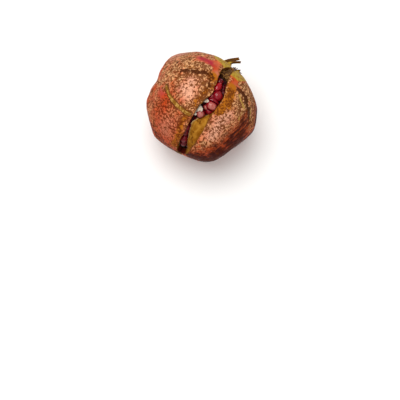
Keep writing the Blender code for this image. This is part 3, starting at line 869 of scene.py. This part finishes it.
        # The slab's ends meet at the stem's pole, and its sides meet where the split is closed.
        seam = [face for face in bm.faces
                if all(vert.co.x < -RIM for vert in face.verts)
                or all(abs(vert.co.y) > RIM and vert.co.x < last_closed for vert in face.verts)]
        bmesh.ops.delete(bm, geom=seam, context="FACES")
        posts = [edge for edge in bm.edges
                 if abs(edge.verts[0].co.z - edge.verts[1].co.z) > 0.5 and edge.link_faces]
        bmesh.ops.subdivide_edges(bm, edges=posts, cuts=self.wall_cuts, use_grid_fill=True)
        self.bend(bm)
        bmesh.ops.remove_doubles(bm, verts=bm.verts[:], dist=WELD)
        loose = [edge for edge in bm.edges if not edge.link_faces]
        bmesh.ops.delete(bm, geom=loose, context="EDGES")
        floor = Vector((0.0, 0.0, (self.form.middle[2] - self.form.rest_drop) * MM))
        everything = bm.verts[:] + bm.edges[:] + bm.faces[:]
        bmesh.ops.bisect_plane(
            bm, geom=everything, plane_co=floor, plane_no=(0.0, 0.0, -1.0), clear_outer=True)
        bmesh.ops.edgeloop_fill(bm, edges=[edge for edge in bm.edges if edge.is_boundary])
        bmesh.ops.recalc_face_normals(bm, faces=bm.faces[:])
        rind = finish_object("rind_fine", bm, RindFinish().material(), sharp=50.0)
        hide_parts("rind")
        return rind

    def closed_share(self) -> float:
        """Share of the columns along which the split is still closed."""
        share = 1.0 - (1.0 - self.form.split_from) ** (1.0 / self.column_crowding)
        return math.floor(share * self.columns) / self.columns + 0.5 / self.columns

    def bend(self, bm: Mesh) -> None:
        """Move the slab's corners to the fruit and give them their attributes.

        Args:
            bm: The flat slab, 2 units across and 1 thick.
        """
        corners = self.corners(bm)
        points = self.points(corners)
        values = self.attributes(corners)
        layers = {name: bm.verts.layers.float.new(name) for name in values}
        for number, vert in enumerate(bm.verts):
            vert.co = Vector(points[number]) * MM
            for name, layer in layers.items():
                vert[layer] = float(values[name][number])

    def corners(self, bm: Mesh) -> Corners:
        """Find where the slab's corners lie on the fruit.

        Args:
            bm: The flat slab.

        Returns:
            The corners, crowded towards the lips and the crown, with lips and torn walls made ragged.
        """
        flat = np.array([vert.co for vert in bm.verts])
        along, across, share = (flat[:, 0] + 1.0) / 2.0, (flat[:, 1] + 1.0) / 2.0, -flat[:, 2]
        across = across - self.row_crowding * np.sin(math.tau * across) / math.tau
        on_wall = (across < NEAR) | (across > 1.0 - NEAR)
        even = 1.0 - (1.0 - along) ** self.column_crowding
        left, right = self.form.lips(even, share)
        angle = left + across * (right + math.tau - left)
        run = self.pulled_back(even, across)
        radius = np.maximum(self.form.outline_at(run, 0.0)[1], 0.5)
        skin = self.form.skin(run, angle)
        from_lip = np.minimum(radius * (angle - left), radius * (right + math.tau - angle))
        from_lip = np.hypot(from_lip, np.maximum(self.form.split_from - run, 0.0) * self.form.run_length)
        split_open = smooth_step(self.form.split_from, self.form.split_from + self.split_opens, run)
        ragged = self.lip_jitter * split_open * rough(skin, self.lip_jitter_mm, 3)
        pull = ragged * np.exp(-from_lip / self.lip_jitter_reach)
        grain = rough(skin + share[:, None] * GRAIN_TURN, self.torn_grain_mm, 3)
        inside = np.sin(math.pi * np.clip(share, 0.0, 1.0))
        pull = pull + on_wall * self.torn_relief * grain * inside * split_open
        angle = angle + np.where(across > 0.5, 1.0, -1.0) * pull / radius
        return Corners(run, angle, across, share, on_wall, from_lip, split_open, skin)

    def points(self, corners: Corners) -> Array:
        """Place the corners in space.

        Args:
            corners: The slab's corners.

        Returns:
            A point for each, with the relief, the rolled lips, the sloping wall and the bent strip.
        """
        run, angle, across, share = corners.run, corners.angle, corners.across, corners.share
        body = window(self.lumps_rise, self.lumps_fall, run)
        slab = window(self.slab_rise, self.slab_fall, run) * (across > 0.5)
        sunk = np.where(corners.on_wall, share ** (1.0 + self.slab_belly * slab), share)
        on_skin = share < ON_SKIN
        rolled = self.lip_roll * np.exp(-(corners.from_lip / self.lip_roll_reach) ** 2)
        rolled = rolled * on_skin * corners.split_open * body
        out = self.relief(corners.skin, body)
        points = self.form.skin(run, angle, through(self.form.wall, run) * sunk + rolled)
        points = points + self.form.outward(run, angle) * out[:, None]
        on_strip = (across > self.strip[0]) * (across < self.strip[1]) * smooth_step(*self.strip_bend, run)
        return points + on_strip[:, None] * np.array(self.strip_shift)

    def attributes(self, corners: Corners) -> dict[str, Array]:
        """Paint the corners.

        Args:
            corners: The slab's corners.

        Returns:
            Values of 0 to 1 for each attribute that the finish reads.
        """
        run, angle, share, on_wall = corners.run, corners.angle, corners.share, corners.on_wall
        split_open, on_skin = corners.split_open, corners.share < ON_SKIN
        rim = self.pulled_back(np.ones(len(run)), corners.across) - self.crown_from
        up_rim = (run - self.crown_from) / np.maximum(rim, 0.01)
        outward = self.form.outward(run, angle)
        shaded_side = np.array(self.shaded_toward) / np.linalg.norm(self.shaded_toward)
        lined = self.lining_on_wall * smooth_step(*self.lining_edge, share)
        lined = np.where(on_wall, lined, share > 0.5)
        foot, cup = self.shade_shares
        slit_shade = foot * (1.0 - smooth_step(*self.shade_foot, run)) + cup * smooth_step(*self.shade_cup, run)
        dry = smooth_step(*self.dry_tips, up_rim) * (run > self.tips_from)
        dry = dry + self.dry_share * smooth_step(*self.dry_crown, run)
        from_top = np.abs((angle + self.russet_turn + math.pi) % math.tau - math.pi)
        neck_from = np.interp((np.degrees(angle) + 180.0) % 360.0 - 180.0, *zip(*self.neck_from))
        values = {
            "torn": np.where(on_wall, np.clip(share * self.torn_starts, 0.0, 1.0), 0.0) * split_open,
            "slit_shade": on_wall * slit_shade,
            "lining": lined * (1.0 - smooth_step(*self.lining_fades, run)),
            "edge": on_skin * np.exp(-corners.from_lip / self.lip_dark_reach) * split_open,
            "neck": smooth_step(0.0, self.neck_blend, run - neck_from),
            "dry": np.clip(dry, 0.0, 1.0),
            "scar": self.scar.cover(self.form, corners.skin),
            "russet": self.russet_back + self.russet_top * np.exp(-(from_top / self.russet_spread) ** 4),
            # Painted shade on the skin that faces away from the key light.
            "painted_shade": smooth_step(*self.shade_facing, outward @ shaded_side),
        }
        for name, marks in self.marks:
            covered = sum(mark.cover(self.form, corners.skin) for mark in marks)
            values[name] = np.clip(values.get(name, 0.0) + covered, 0.0, 1.0)
        # The painted shade weakens where the skin turns away from the upper side, and is left off the neck.
        hidden = smooth_step(*self.shade_fades, -outward @ np.array(self.upper_side))
        values["painted_shade"] *= (1.0 - self.shade_faded * hidden) * (1.0 - values["neck"])
        smooth = sum(weight * values[name] for name, weight in self.russet_gone)
        values["russet"] = np.clip(values["russet"] - smooth, 0.0, 1.0)
        del values["bare"]
        return values


@dataclass
class Site:
    """Where an aril sits, its directions across, along and out, its half widths and its look."""

    middle: Array
    axes: Array
    half: Array
    seed: float
    tint: float


@dataclass
class Arils:
    """Arils packed on their seed mass.

    An aril's row gives its run, angle in degrees, depth of its tip, half widths across and along,
    how much seed shows in it, and its tint from dark to light.
    """

    form: FruitForm
    shown: tuple[tuple[float, ...], ...] = (
        (0.625, -12.0, 3.6, 2.5, 2.8, 0.0, 0.1), (0.580, -14.0, 2.6, 2.5, 3.9, 0.1, 1.0),
        (0.600, -19.5, 4.6, 2.2, 2.8, 0.0, 0.0), (0.535, -19.6, 2.5, 3.5, 3.3, 0.2, 0.6),
        (0.514, -14.8, 3.2, 2.3, 2.6, 0.25, 0.5), (0.494, -19.5, 3.0, 4.0, 2.4, 0.0, 0.5),
        (0.468, -20.2, 1.6, 3.7, 2.8, 0.75, 0.7), (0.447, -16.5, 3.2, 2.0, 1.9, 0.7, 0.4),
        (0.460, -13.2, 4.8, 1.9, 1.7, 0.3, 0.0), (0.402, -14.6, 2.3, 2.8, 2.9, 0.75, 0.3),
        (0.424, -21.5, 2.4, 2.0, 1.8, 0.6, 0.8), (0.440, -21.5, 3.3, 2.6, 2.4, 0.0, 0.5),
        (0.360, -15.0, 3.4, 2.4, 2.8, 0.0, 0.1))
    half: Triple = (2.8, 3.3, 4.2)
    pitch: float = 5.7
    nearest: float = 3.6
    rows: tuple[float, ...] = (-31.0, -22.5, -14.5, -6.0, 2.5)
    row_radius: float = 30.0
    run_from: float = 0.13
    run_to: float = 0.64
    run_jitter: float = 0.4
    turn_jitter: float = 1.0
    sizes: Point = (0.88, 1.02)
    tints: Point = (0.1, 0.8)
    tip: float = 3.4
    seed: int = 11
    clearance: float = 0.45
    sink: float = 0.3
    deepest: float = 9.0
    septum_run: Point = (0.375, 0.515)
    septum_room: float = 1.35
    mass_depth: float = 7.0
    mass_to: float = 0.69
    mass_columns: int = 60
    mass_rings: int = 36
    mass_face: float = 30.0 / 36.0
    swell: float = 1.22
    boxiness: float = 0.5
    taper: float = 0.16
    twist: float = math.radians(137.5)
    neighbours: int = 8
    press_from: float = 0.47
    press_softness: float = 0.3
    seed_face: Point = (0.45, 0.95)
    seed_pressed: Point = (0.1, 0.6)
    # How strongly painted shade lies on the arils' sides, on faces pressed against neighbours, and on the
    # row arils.
    shade_face: Point = (-0.3, 0.5)
    shade_pressed: float = 0.8
    shade_side: float = 0.9
    shade_hidden: float = 0.45

    def fits(self, corners: Array, run: float, angle: float, tip: float) -> bool:
        """Whether an aril with its tip at a depth stays clear of the rind and the septum.

        Args:
            corners: Its corners across, along and out from its middle.
            run: Its run.
            angle: Its angle in radians.
            tip: Depth of its tip.

        Returns:
            True where every corner is clear.
        """
        radius = float(self.form.outline_at(run, 0.0)[1])
        here = run + corners[:, 1] / self.form.run_length
        turn = angle + corners[:, 0] / radius
        drop = (corners[:, 0] ** 2 + corners[:, 1] ** 2) / (2.0 * radius)
        depth = tip + self.half[2] - corners[:, 2] + drop
        wall = through(self.form.wall, here)
        left, right = self.form.lips(here, np.clip(depth / wall, 0.0, 1.0))
        beside = (here > self.septum_run[0]) & (here < self.septum_run[1])
        left_margin = self.clearance + np.where(beside, self.septum_room, 0.0)
        outside = (turn > left - left_margin / radius) | (turn < right + self.clearance / radius)
        return not bool(np.any(outside & (depth <= wall + self.clearance)))

    def places(self) -> list[tuple[float, ...]]:
        """Set out the arils: first those placed one by one, then rows between them.

        Returns:
            Each aril's row, with its angle in radians.
        """
        found = [(row[0], math.radians(row[1]), *row[2:]) for row in self.shown]
        chance = random.Random(self.seed)
        length = self.form.run_length
        for row, angle in enumerate(self.rows):
            run = self.run_from + (row % 2) * 0.5 * self.pitch / length
            while run < self.run_to:
                place = run + chance.uniform(-self.run_jitter, self.run_jitter) / length
                radius = float(self.form.outline_at(place, 0.0)[1])
                turn = math.radians(angle * self.row_radius / radius)
                turn += math.radians(chance.uniform(-self.turn_jitter, self.turn_jitter))
                size = chance.uniform(*self.sizes)
                tint = chance.uniform(*self.tints)
                if all(math.hypot((place - other[0]) * length, (turn - other[1]) * radius) >= self.nearest
                       for other in found[:len(self.shown)]):
                    across, along = self.half[0] * size, self.half[1] * size
                    found.append((place, turn, self.tip, across, along, 0.0, tint))
                run += self.pitch / length
        return found

    def sites(self) -> list[Site]:
        """Sink each aril until it is clear.

        Returns:
            The arils that fit.
        """
        ball = bmesh.new()
        bmesh.ops.create_icosphere(ball, subdivisions=2, radius=1.0)
        sparse = np.array([vert.co for vert in ball.verts])
        ball.free()
        sites = []
        for run, angle, tip, across, along, seed, tint in self.places():
            half = np.array((across, along, self.half[2]))
            while tip < self.deepest and not self.fits(sparse * half, run, angle, tip):
                tip += self.sink
            if tip < self.deepest:
                sites.append(Site(*self.frame_at(run, angle, tip + self.half[2]), half, seed, tint))
        return sites

    def frame_at(self, run: float, angle: float, depth: float) -> tuple[Array, Array]:
        """Find how an aril sits.

        Args:
            run: Its run.
            angle: Its angle in radians.
            depth: Depth of its middle.

        Returns:
            Its middle, and its directions across, along and outwards.
        """
        middle = self.form.skin(run, angle, depth)
        outward = self.form.skin(run, angle, depth - 1.0) - middle
        outward = outward / np.linalg.norm(outward)
        along = self.form.skin(run + 0.01, angle, depth) - middle
        along = along - outward * (along @ outward)
        along = along / np.linalg.norm(along)
        return middle, np.array([np.cross(along, outward), along, outward])

    def build(self) -> bpy.types.Object:
        """Build the arils on their seed mass and dress them.

        Returns:
            One object that stands for the arils' node.
        """
        bm = bmesh.new()
        for name in ("tint", "seed", "crease_shade"):
            bm.verts.layers.float.new(name)
        self.add_mass(bm)
        sites = self.sites()
        middles = np.array([site.middle for site in sites])
        for number, site in enumerate(sites):
            self.add_aril(bm, number, site, middles)
        bmesh.ops.recalc_face_normals(bm, faces=bm.faces[:])
        arils = finish_object("arils_fine", bm, ArilFinish().material(), sharp=80.0)
        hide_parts("arils")
        return arils

    def add_mass(self, bm: Mesh) -> None:
        """Add the seed mass, which lies under the skin and ends in a level face towards the crown.

        Args:
            bm: The arils' bmesh.
        """
        crease_shade = bm.verts.layers.float["crease_shade"]
        ball = bmesh.ops.create_uvsphere(
            bm, u_segments=self.mass_columns, v_segments=self.mass_rings, radius=1.0)
        for vert in ball["verts"]:
            direction = vert.co.normalized()
            turn = math.acos(min(max(-direction.z, -1.0), 1.0)) / math.pi
            run = self.mass_to * min(turn / self.mass_face, 1.0)
            point = self.form.skin(run, math.atan2(direction.y, direction.x), self.mass_depth)
            share = max(turn - self.mass_face, 0.0) / (1.0 - self.mass_face)
            centre = np.array([point[0], self.form.middle[1], self.form.middle[2]])
            vert.co = Vector(point + (centre - point) * share) * MM
            # The whole seed mass is painted shade.
            vert[crease_shade] = 1.0

    def add_aril(self, bm: Mesh, number: int, site: Site, middles: Array) -> None:
        """Add one boxy egg, pressed flat against its neighbours.

        Args:
            bm: The arils' bmesh.
            number: The aril's place in their order.
            site: Where it sits.
            middles: Middles of all the arils.
        """
        shown = number < len(self.shown)
        made = bmesh.ops.create_icosphere(bm, subdivisions=4 if shown else 3, radius=1.0)["verts"]
        unit = np.array([vert.co for vert in made])
        turned = unit @ np.array(Matrix.Rotation(number * self.twist, 3, "Z"))
        boxy = np.sum(turned ** CUBE_POWER, axis=1, keepdims=True) ** (-1.0 / CUBE_POWER)
        egg = unit * (1.0 + self.boxiness * (boxy - 1.0))
        egg = egg * (1.0 - self.taper * unit[:, 2:3] * np.array([1.0, 1.0, 0.0]))
        points = site.middle + (egg * site.half * self.swell) @ site.axes
        pressed = np.zeros(len(points))
        for other in np.argsort(np.linalg.norm(middles - site.middle, axis=1))[1:self.neighbours + 1]:
            gap = middles[other] - site.middle
            distance = np.linalg.norm(gap)
            over = np.maximum((points - site.middle) @ (gap / distance) - distance * self.press_from, 0.0)
            moved = over * over / (over + self.press_softness)
            points = points - (gap / distance) * moved[:, None]
            pressed = np.maximum(pressed, moved)
        seed = smooth_step(*self.seed_face, unit[:, 2]) * (1.0 - smooth_step(*self.seed_pressed, pressed))
        # Painted shade: darker on the sides turned inwards, where pressed against neighbours, and on every
        # aril of the rows.
        crease_shade = self.shade_side * (1.0 - smooth_step(*self.shade_face, unit[:, 2]))
        crease_shade = crease_shade + pressed * self.shade_pressed + (0.0 if shown else self.shade_hidden)
        looks = {"tint": np.full(len(points), site.tint), "seed": site.seed * seed,
                 "crease_shade": np.clip(crease_shade, 0.0, 1.0)}
        layers = bm.verts.layers.float
        for place, vert in enumerate(made):
            vert.co = Vector(points[place]) * MM
            for name, look in looks.items():
                vert[layers[name]] = float(look[place])


@dataclass
class Septum:
    """White septum beside the left lip, torn along its top into flaps that curl into the split.

    A flap's row gives its run, its half width in runs, its height and how far it curls.
    """

    form: FruitForm
    columns: int = 110
    rows: int = 24
    run: Point = (0.375, 0.505)
    top: float = 4.6
    foot: float = 6.0
    thick: float = 0.9
    clearance: float = 0.45
    flaps: tuple[tuple[float, float, float, float], ...] = (
        (0.474, 0.012, 3.2, 2.2), (0.420, 0.018, 3.4, 2.8), (0.388, 0.008, 2.6, 1.0))
    curl_bend: float = 1.6
    torn_height: float = 1.1
    torn_size: Triple = (16.0, 2.0, 1.3)
    wrinkle: float = 0.3
    wrinkle_mm: float = 1.8

    def build(self) -> bpy.types.Object:
        """Build the septum and dress it.

        Returns:
            The septum, which stands for the node of its name.
        """
        bm = flat_slab(self.columns, self.rows)
        flat = np.array([vert.co for vert in bm.verts])
        along, across, share = (flat[:, 0] + 1.0) / 2.0, (flat[:, 1] + 1.0) / 2.0, -flat[:, 2]
        run = self.run[0] + (self.run[1] - self.run[0]) * along
        rise, curl = np.zeros(len(run)), np.zeros(len(run))
        for place, width, height, reach in self.flaps:
            near = np.exp(-((run - place) / width) ** 4)
            rise, curl = rise + near * height, curl + near * reach
        long, wide, size = self.torn_size
        torn = self.torn_height * rough(np.stack([along * long, across * wide, 0.0 * along], -1), size, 4)
        depth = self.top - (rise - torn) * (1.0 - across) + (self.foot - self.top) * across
        wall = through(self.form.wall, run)
        radius = self.form.outline_at(run, depth)[1]
        left = self.form.lips(run, np.minimum(depth / wall, 1.0))[0]
        inset = self.clearance + self.thick * share + curl * (1.0 - across) ** self.curl_bend
        points = self.form.skin(run, left - inset / radius, depth)
        wrinkles = self.wrinkle * rough(points, self.wrinkle_mm, 3)
        points = points + wrinkles[:, None] * self.form.outward(run, left)
        for vert, point in zip(bm.verts, points):
            vert.co = Vector(point) * MM
        bmesh.ops.recalc_face_normals(bm, faces=bm.faces[:])
        finish = DryFinish("pomegranate septum, fresh membrane", "#e2d8c8", "#8c725c",
                           fibre_mm=1.3, roughness=0.5, bump_mm=0.3)
        septum = finish_object("septum_fine", bm, finish.material())
        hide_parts("septum")
        return septum


@dataclass
class CalyxCup:
    """Dried cup under the crown, with its stamens."""

    form: FruitForm
    clearance: float = 0.9
    cup: tuple[Point, ...] = ((0.0, 34.6), (3.6, 35.0), (5.2, 36.2), (6.0, 36.0))
    runs: tuple[float, ...] = (0.92, 0.895, 0.87, 0.845, 0.82, 0.79, 0.76, 0.735, 0.715)
    inner_face: float = 19.0
    inner_taper: float = 1.5
    cuts: int = 5
    steps: int = 120
    rough_height: float = 0.5
    rough_mm: float = 3.0
    rough_sunk: float = 0.1
    stamen_count: int = 40
    stamen_turn: float = math.radians(137.5)
    stamen_ring: float = 3.9
    stamen_root: float = 33.8
    stamen_length: Point = (3.6, 6.2)
    stamen_radii: Point = (0.36, 0.2)
    stamen_curl: Point = (-0.9, 0.9)
    stamen_withered: float = 0.85
    stamen_lean: Point = (-1.2, -0.7)
    stamen_sway: Point = (-0.1, 0.1)
    stamen_middle: Point = (-1.2, 0.0)
    anther_radius: float = 0.4
    anther_shape: tuple[float, ...] = (0.8, 0.8, 1.5, 1.0)
    seed: int = 5

    def build(self) -> bpy.types.Object:
        """Build the cup with its stamens and dress it.

        Returns:
            One object that stands for the cup's node.
        """
        profile = list(self.cup)
        for run in self.runs:
            along, radius = self.form.outline_at(run, through(self.form.wall, run) + self.clearance)
            profile.append((float(radius), float(along)))
        profile += [(profile[-1][0] - self.inner_taper, self.inner_face), (0.0, self.inner_face)]
        bm = bmesh.new()
        middle = Vector(self.form.middle)
        verts = [bm.verts.new(middle + Vector((along, 0.0, radius))) for radius, along in profile]
        edges = [bm.edges.new(pair) for pair in zip(verts, verts[1:])]
        bmesh.ops.subdivide_edges(bm, edges=edges, cuts=self.cuts)
        bmesh.ops.spin(bm, geom=bm.verts[:] + bm.edges[:], cent=middle, axis=(1.0, 0.0, 0.0),
                       angle=math.tau, steps=self.steps, use_merge=True)
        bmesh.ops.remove_doubles(bm, verts=bm.verts[:], dist=0.01)
        bmesh.ops.recalc_face_normals(bm, faces=bm.faces[:])
        bm.normal_update()
        corners = np.array([vert.co for vert in bm.verts])
        raised = self.rough_height * rough(corners, self.rough_mm, 4) - self.rough_sunk
        for vert, height in zip(bm.verts, raised):
            vert.co += vert.normal * float(height)
        withered = bm.verts.layers.float.new("withered")
        before = len(bm.verts)
        self.add_stamens(bm)
        bm.verts.ensure_lookup_table()
        for vert in bm.verts[before:]:
            vert[withered] = self.stamen_withered
        bmesh.ops.scale(bm, vec=(MM, MM, MM), verts=bm.verts[:])
        finish = DryFinish("pomegranate calyx, dried tissue", "#a2743a", "#4a2210",
                           fibre_mm=2.2, roughness=0.85, bump_mm=0.9, spread=(0.43, 0.60))
        cup = finish_object("calyx_cup_fine", bm, finish.material())
        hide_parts("calyx_cup")
        return cup

    def add_stamens(self, bm: Mesh) -> None:
        """Add curled, dried stamens that stand in the cup.

        Args:
            bm: The cup's bmesh, in millimetres.
        """
        chance = random.Random(self.seed)
        for number in range(self.stamen_count):
            reach = self.stamen_ring * math.sqrt((number + 0.5) / self.stamen_count)
            angle = number * self.stamen_turn
            length = chance.uniform(*self.stamen_length)
            curl = Vector((chance.uniform(*self.stamen_curl), chance.uniform(*self.stamen_curl), 0.0))
            one = self.stamen(length, curl)
            lean = Vector((1.0, chance.uniform(*self.stamen_lean), chance.uniform(*self.stamen_sway)))
            lean.normalize()
            turn = lean.to_track_quat("Z", "Y").to_matrix().to_4x4()
            root = Vector((self.stamen_root, self.stamen_middle[0] + reach * math.sin(angle),
                           self.stamen_middle[1] + reach * math.cos(angle)))
            turn.translation = root + lean * length / 2.0 + Vector(self.form.middle)
            bmesh.ops.transform(one, matrix=turn, verts=one.verts[:])
            carried = bpy.data.meshes.new("one_stamen")
            one.to_mesh(carried)
            one.free()
            bm.from_mesh(carried)
            bpy.data.meshes.remove(carried)

    def stamen(self, length: float, curl: Vector) -> Mesh:
        """Make one stamen that stands on its root, with its anther at the tip.

        Args:
            length: Length of the stalk.
            curl: How far the tip bends sideways.

        Returns:
            The stamen's bmesh, in millimetres.
        """
        one = bmesh.new()
        bmesh.ops.create_cone(one, cap_ends=True, segments=6, radius1=self.stamen_radii[0],
                              radius2=self.stamen_radii[1], depth=length)
        sides = [edge for edge in one.edges
                 if abs(edge.verts[0].co.z - edge.verts[1].co.z) > length / 2.0]
        bmesh.ops.subdivide_edges(one, edges=sides, cuts=4)
        tip = Matrix.Translation((0.0, 0.0, length / 2.0)) @ Matrix.Diagonal(self.anther_shape)
        bmesh.ops.create_icosphere(one, subdivisions=1, radius=self.anther_radius, matrix=tip)
        for vert in one.verts:
            height = vert.co.z / length + 0.5
            vert.co += curl * height * height
        return one


@dataclass
class StemStub:
    """Woody stub at the stem end, broken off short."""

    form: FruitForm
    radius: float = 2.3
    flare: float = 0.3
    length: float = 1.2
    clearance: float = 0.3
    edge: float = 0.3
    rough_height: float = 0.18
    rough_mm: float = 1.4
    end_share: float = 0.4

    def build(self) -> bpy.types.Object:
        """Build the stub and dress it.

        Returns:
            The stub, which stands for the node of its name.
        """
        pole = Vector(self.form.skin(0.0, 0.0))
        outward = (pole - Vector(self.form.skin(0.0, 0.0, 1.0))).normalized()
        bm = bmesh.new()
        bmesh.ops.create_cone(bm, cap_ends=True, segments=32, radius1=self.radius,
                              radius2=self.radius + self.flare, depth=self.length)
        rims = [edge for edge in bm.edges if edge.calc_face_angle(0.0) > 1.0]
        bmesh.ops.bevel(
            bm, geom=rims, offset=self.edge, segments=3, profile=0.5, affect="EDGES", material=-1)
        bmesh.ops.triangulate(bm, faces=[face for face in bm.faces if len(face.verts) > 4])
        bmesh.ops.subdivide_edges(bm, edges=bm.edges[:], cuts=2, use_grid_fill=True)
        corners = np.array([vert.co for vert in bm.verts])
        for vert, height in zip(bm.verts, rough(corners, self.rough_mm, 3)):
            grow = Vector((vert.co.x, vert.co.y, vert.co.z * self.end_share)).normalized()
            vert.co += grow * float(height) * self.rough_height
        turn = outward.to_track_quat("Z", "Y").to_matrix().to_4x4()
        turn.translation = pole + outward * (self.clearance + self.length / 2.0)
        bmesh.ops.transform(bm, matrix=turn, verts=bm.verts[:])
        bmesh.ops.scale(bm, vec=(MM, MM, MM), verts=bm.verts[:])
        finish = DryFinish("pomegranate stalk, broken wood", "#9a7a50", "#4a3018",
                           fibre_mm=0.8, roughness=0.85, bump_mm=0.25)
        stub = finish_object("stem_stub_fine", bm, finish.material())
        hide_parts("stem_stub")
        return stub


@dataclass(frozen=True)
class Stage:
    """Pale floor, soft light and the camera over the fruit."""

    form: FruitForm
    frame_px: int = 400
    sensor_mm: float = 36.0
    mm_per_px: float = 0.732
    distance: float = 600.0
    azimuth: float = math.radians(-53.2)
    elevation: float = math.radians(76.5)
    middle_px: Point = (201.0, 106.5)
    floor_half: float = 6000.0
    floor_drop: float = 0.2
    sky: float = 0.62
    lamps: tuple[tuple[str, Triple, float, float], ...] = (
        ("key", (0.0, 170.0, 900.0), 760.0, 7.6), ("fill", (-600.0, -200.0, 700.0), 500.0, 0.912))
    near_clip: float = 10.0

    def build(self) -> None:
        """Make the floor, the lights and the camera."""
        self.make_floor()
        self.make_lights()
        self.make_camera()

    def make_floor(self) -> None:
        """Make the plain pale floor."""
        bm = bmesh.new()
        bmesh.ops.create_grid(bm, x_segments=1, y_segments=1, size=self.floor_half * MM)
        bmesh.ops.translate(bm, vec=(0.0, 0.0, -self.floor_drop * MM), verts=bm.verts[:])
        mesh = bpy.data.meshes.new("floor")
        bm.to_mesh(mesh)
        bm.free()
        material = bpy.data.materials.new("studio floor, matt paper")
        material.use_nodes = True
        shader = material.node_tree.nodes["Principled BSDF"]
        shader.inputs["Base Color"].default_value = linear("#eae9e7")
        shader.inputs["Roughness"].default_value = 0.9
        mesh.materials.append(material)
        floor = bpy.data.objects.new("floor", mesh)
        bpy.context.scene.collection.objects.link(floor)

    def make_lights(self) -> None:
        """Make a pale sky, and round soft lamps given by name, place, size and power."""
        world = bpy.data.worlds.new("studio")
        world.use_nodes = True
        background = world.node_tree.nodes["Background"]
        background.inputs["Color"].default_value = linear("#ffffff")
        background.inputs["Strength"].default_value = self.sky
        bpy.context.scene.world = world
        for name, place, size, power in self.lamps:
            lamp = bpy.data.lights.new(name, "AREA")
            lamp.shape = "DISK"
            lamp.size = size * MM
            lamp.energy = power
            holder = bpy.data.objects.new(name, lamp)
            holder.location = Vector(place) * MM
            aim = Vector((0.0, 0.0, self.form.middle[2])) - Vector(place)
            holder.rotation_mode = "QUATERNION"
            holder.rotation_quaternion = aim.to_track_quat("-Z", "Y")
            bpy.context.scene.collection.objects.link(holder)

    def make_camera(self) -> None:
        """Make the camera at the photograph's viewing angle."""
        back = Vector((math.sin(self.azimuth) * math.cos(self.elevation),
                       -math.cos(self.azimuth) * math.cos(self.elevation), math.sin(self.elevation)))
        right = Vector((math.cos(self.azimuth), math.sin(self.azimuth), 0.0))
        upward = back.cross(right)
        half = self.frame_px / 2.0
        place = (Vector(self.form.middle) + back * self.distance
                 - right * (self.middle_px[0] - half) * self.mm_per_px
                 - upward * (half - self.middle_px[1]) * self.mm_per_px)
        lens = bpy.data.cameras.new("camera")
        lens.sensor_width = self.sensor_mm
        lens.lens = self.sensor_mm * self.distance / self.mm_per_px / self.frame_px
        lens.clip_start = self.near_clip * MM
        camera = bpy.data.objects.new("camera", lens)
        turned = Matrix((right, upward, back)).transposed().to_4x4()
        camera.matrix_world = Matrix.Translation(place * MM) @ turned
        bpy.context.scene.collection.objects.link(camera)
        bpy.context.scene.camera = camera


def main() -> None:
    """Build the fruit and its stage."""
    logging.basicConfig(level=logging.INFO, format="%(name)s: %(message)s")
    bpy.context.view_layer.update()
    bpy.context.scene.view_settings.view_transform = "Standard"
    form = FruitForm()
    Stage(form).build()
    for piece in (Rind(form), Arils(form), Septum(form), CalyxCup(form), StemStub(form)):
        made = piece.build()
        LOG.info("%s built", made.name)


if __name__ == "__main__":
    main()
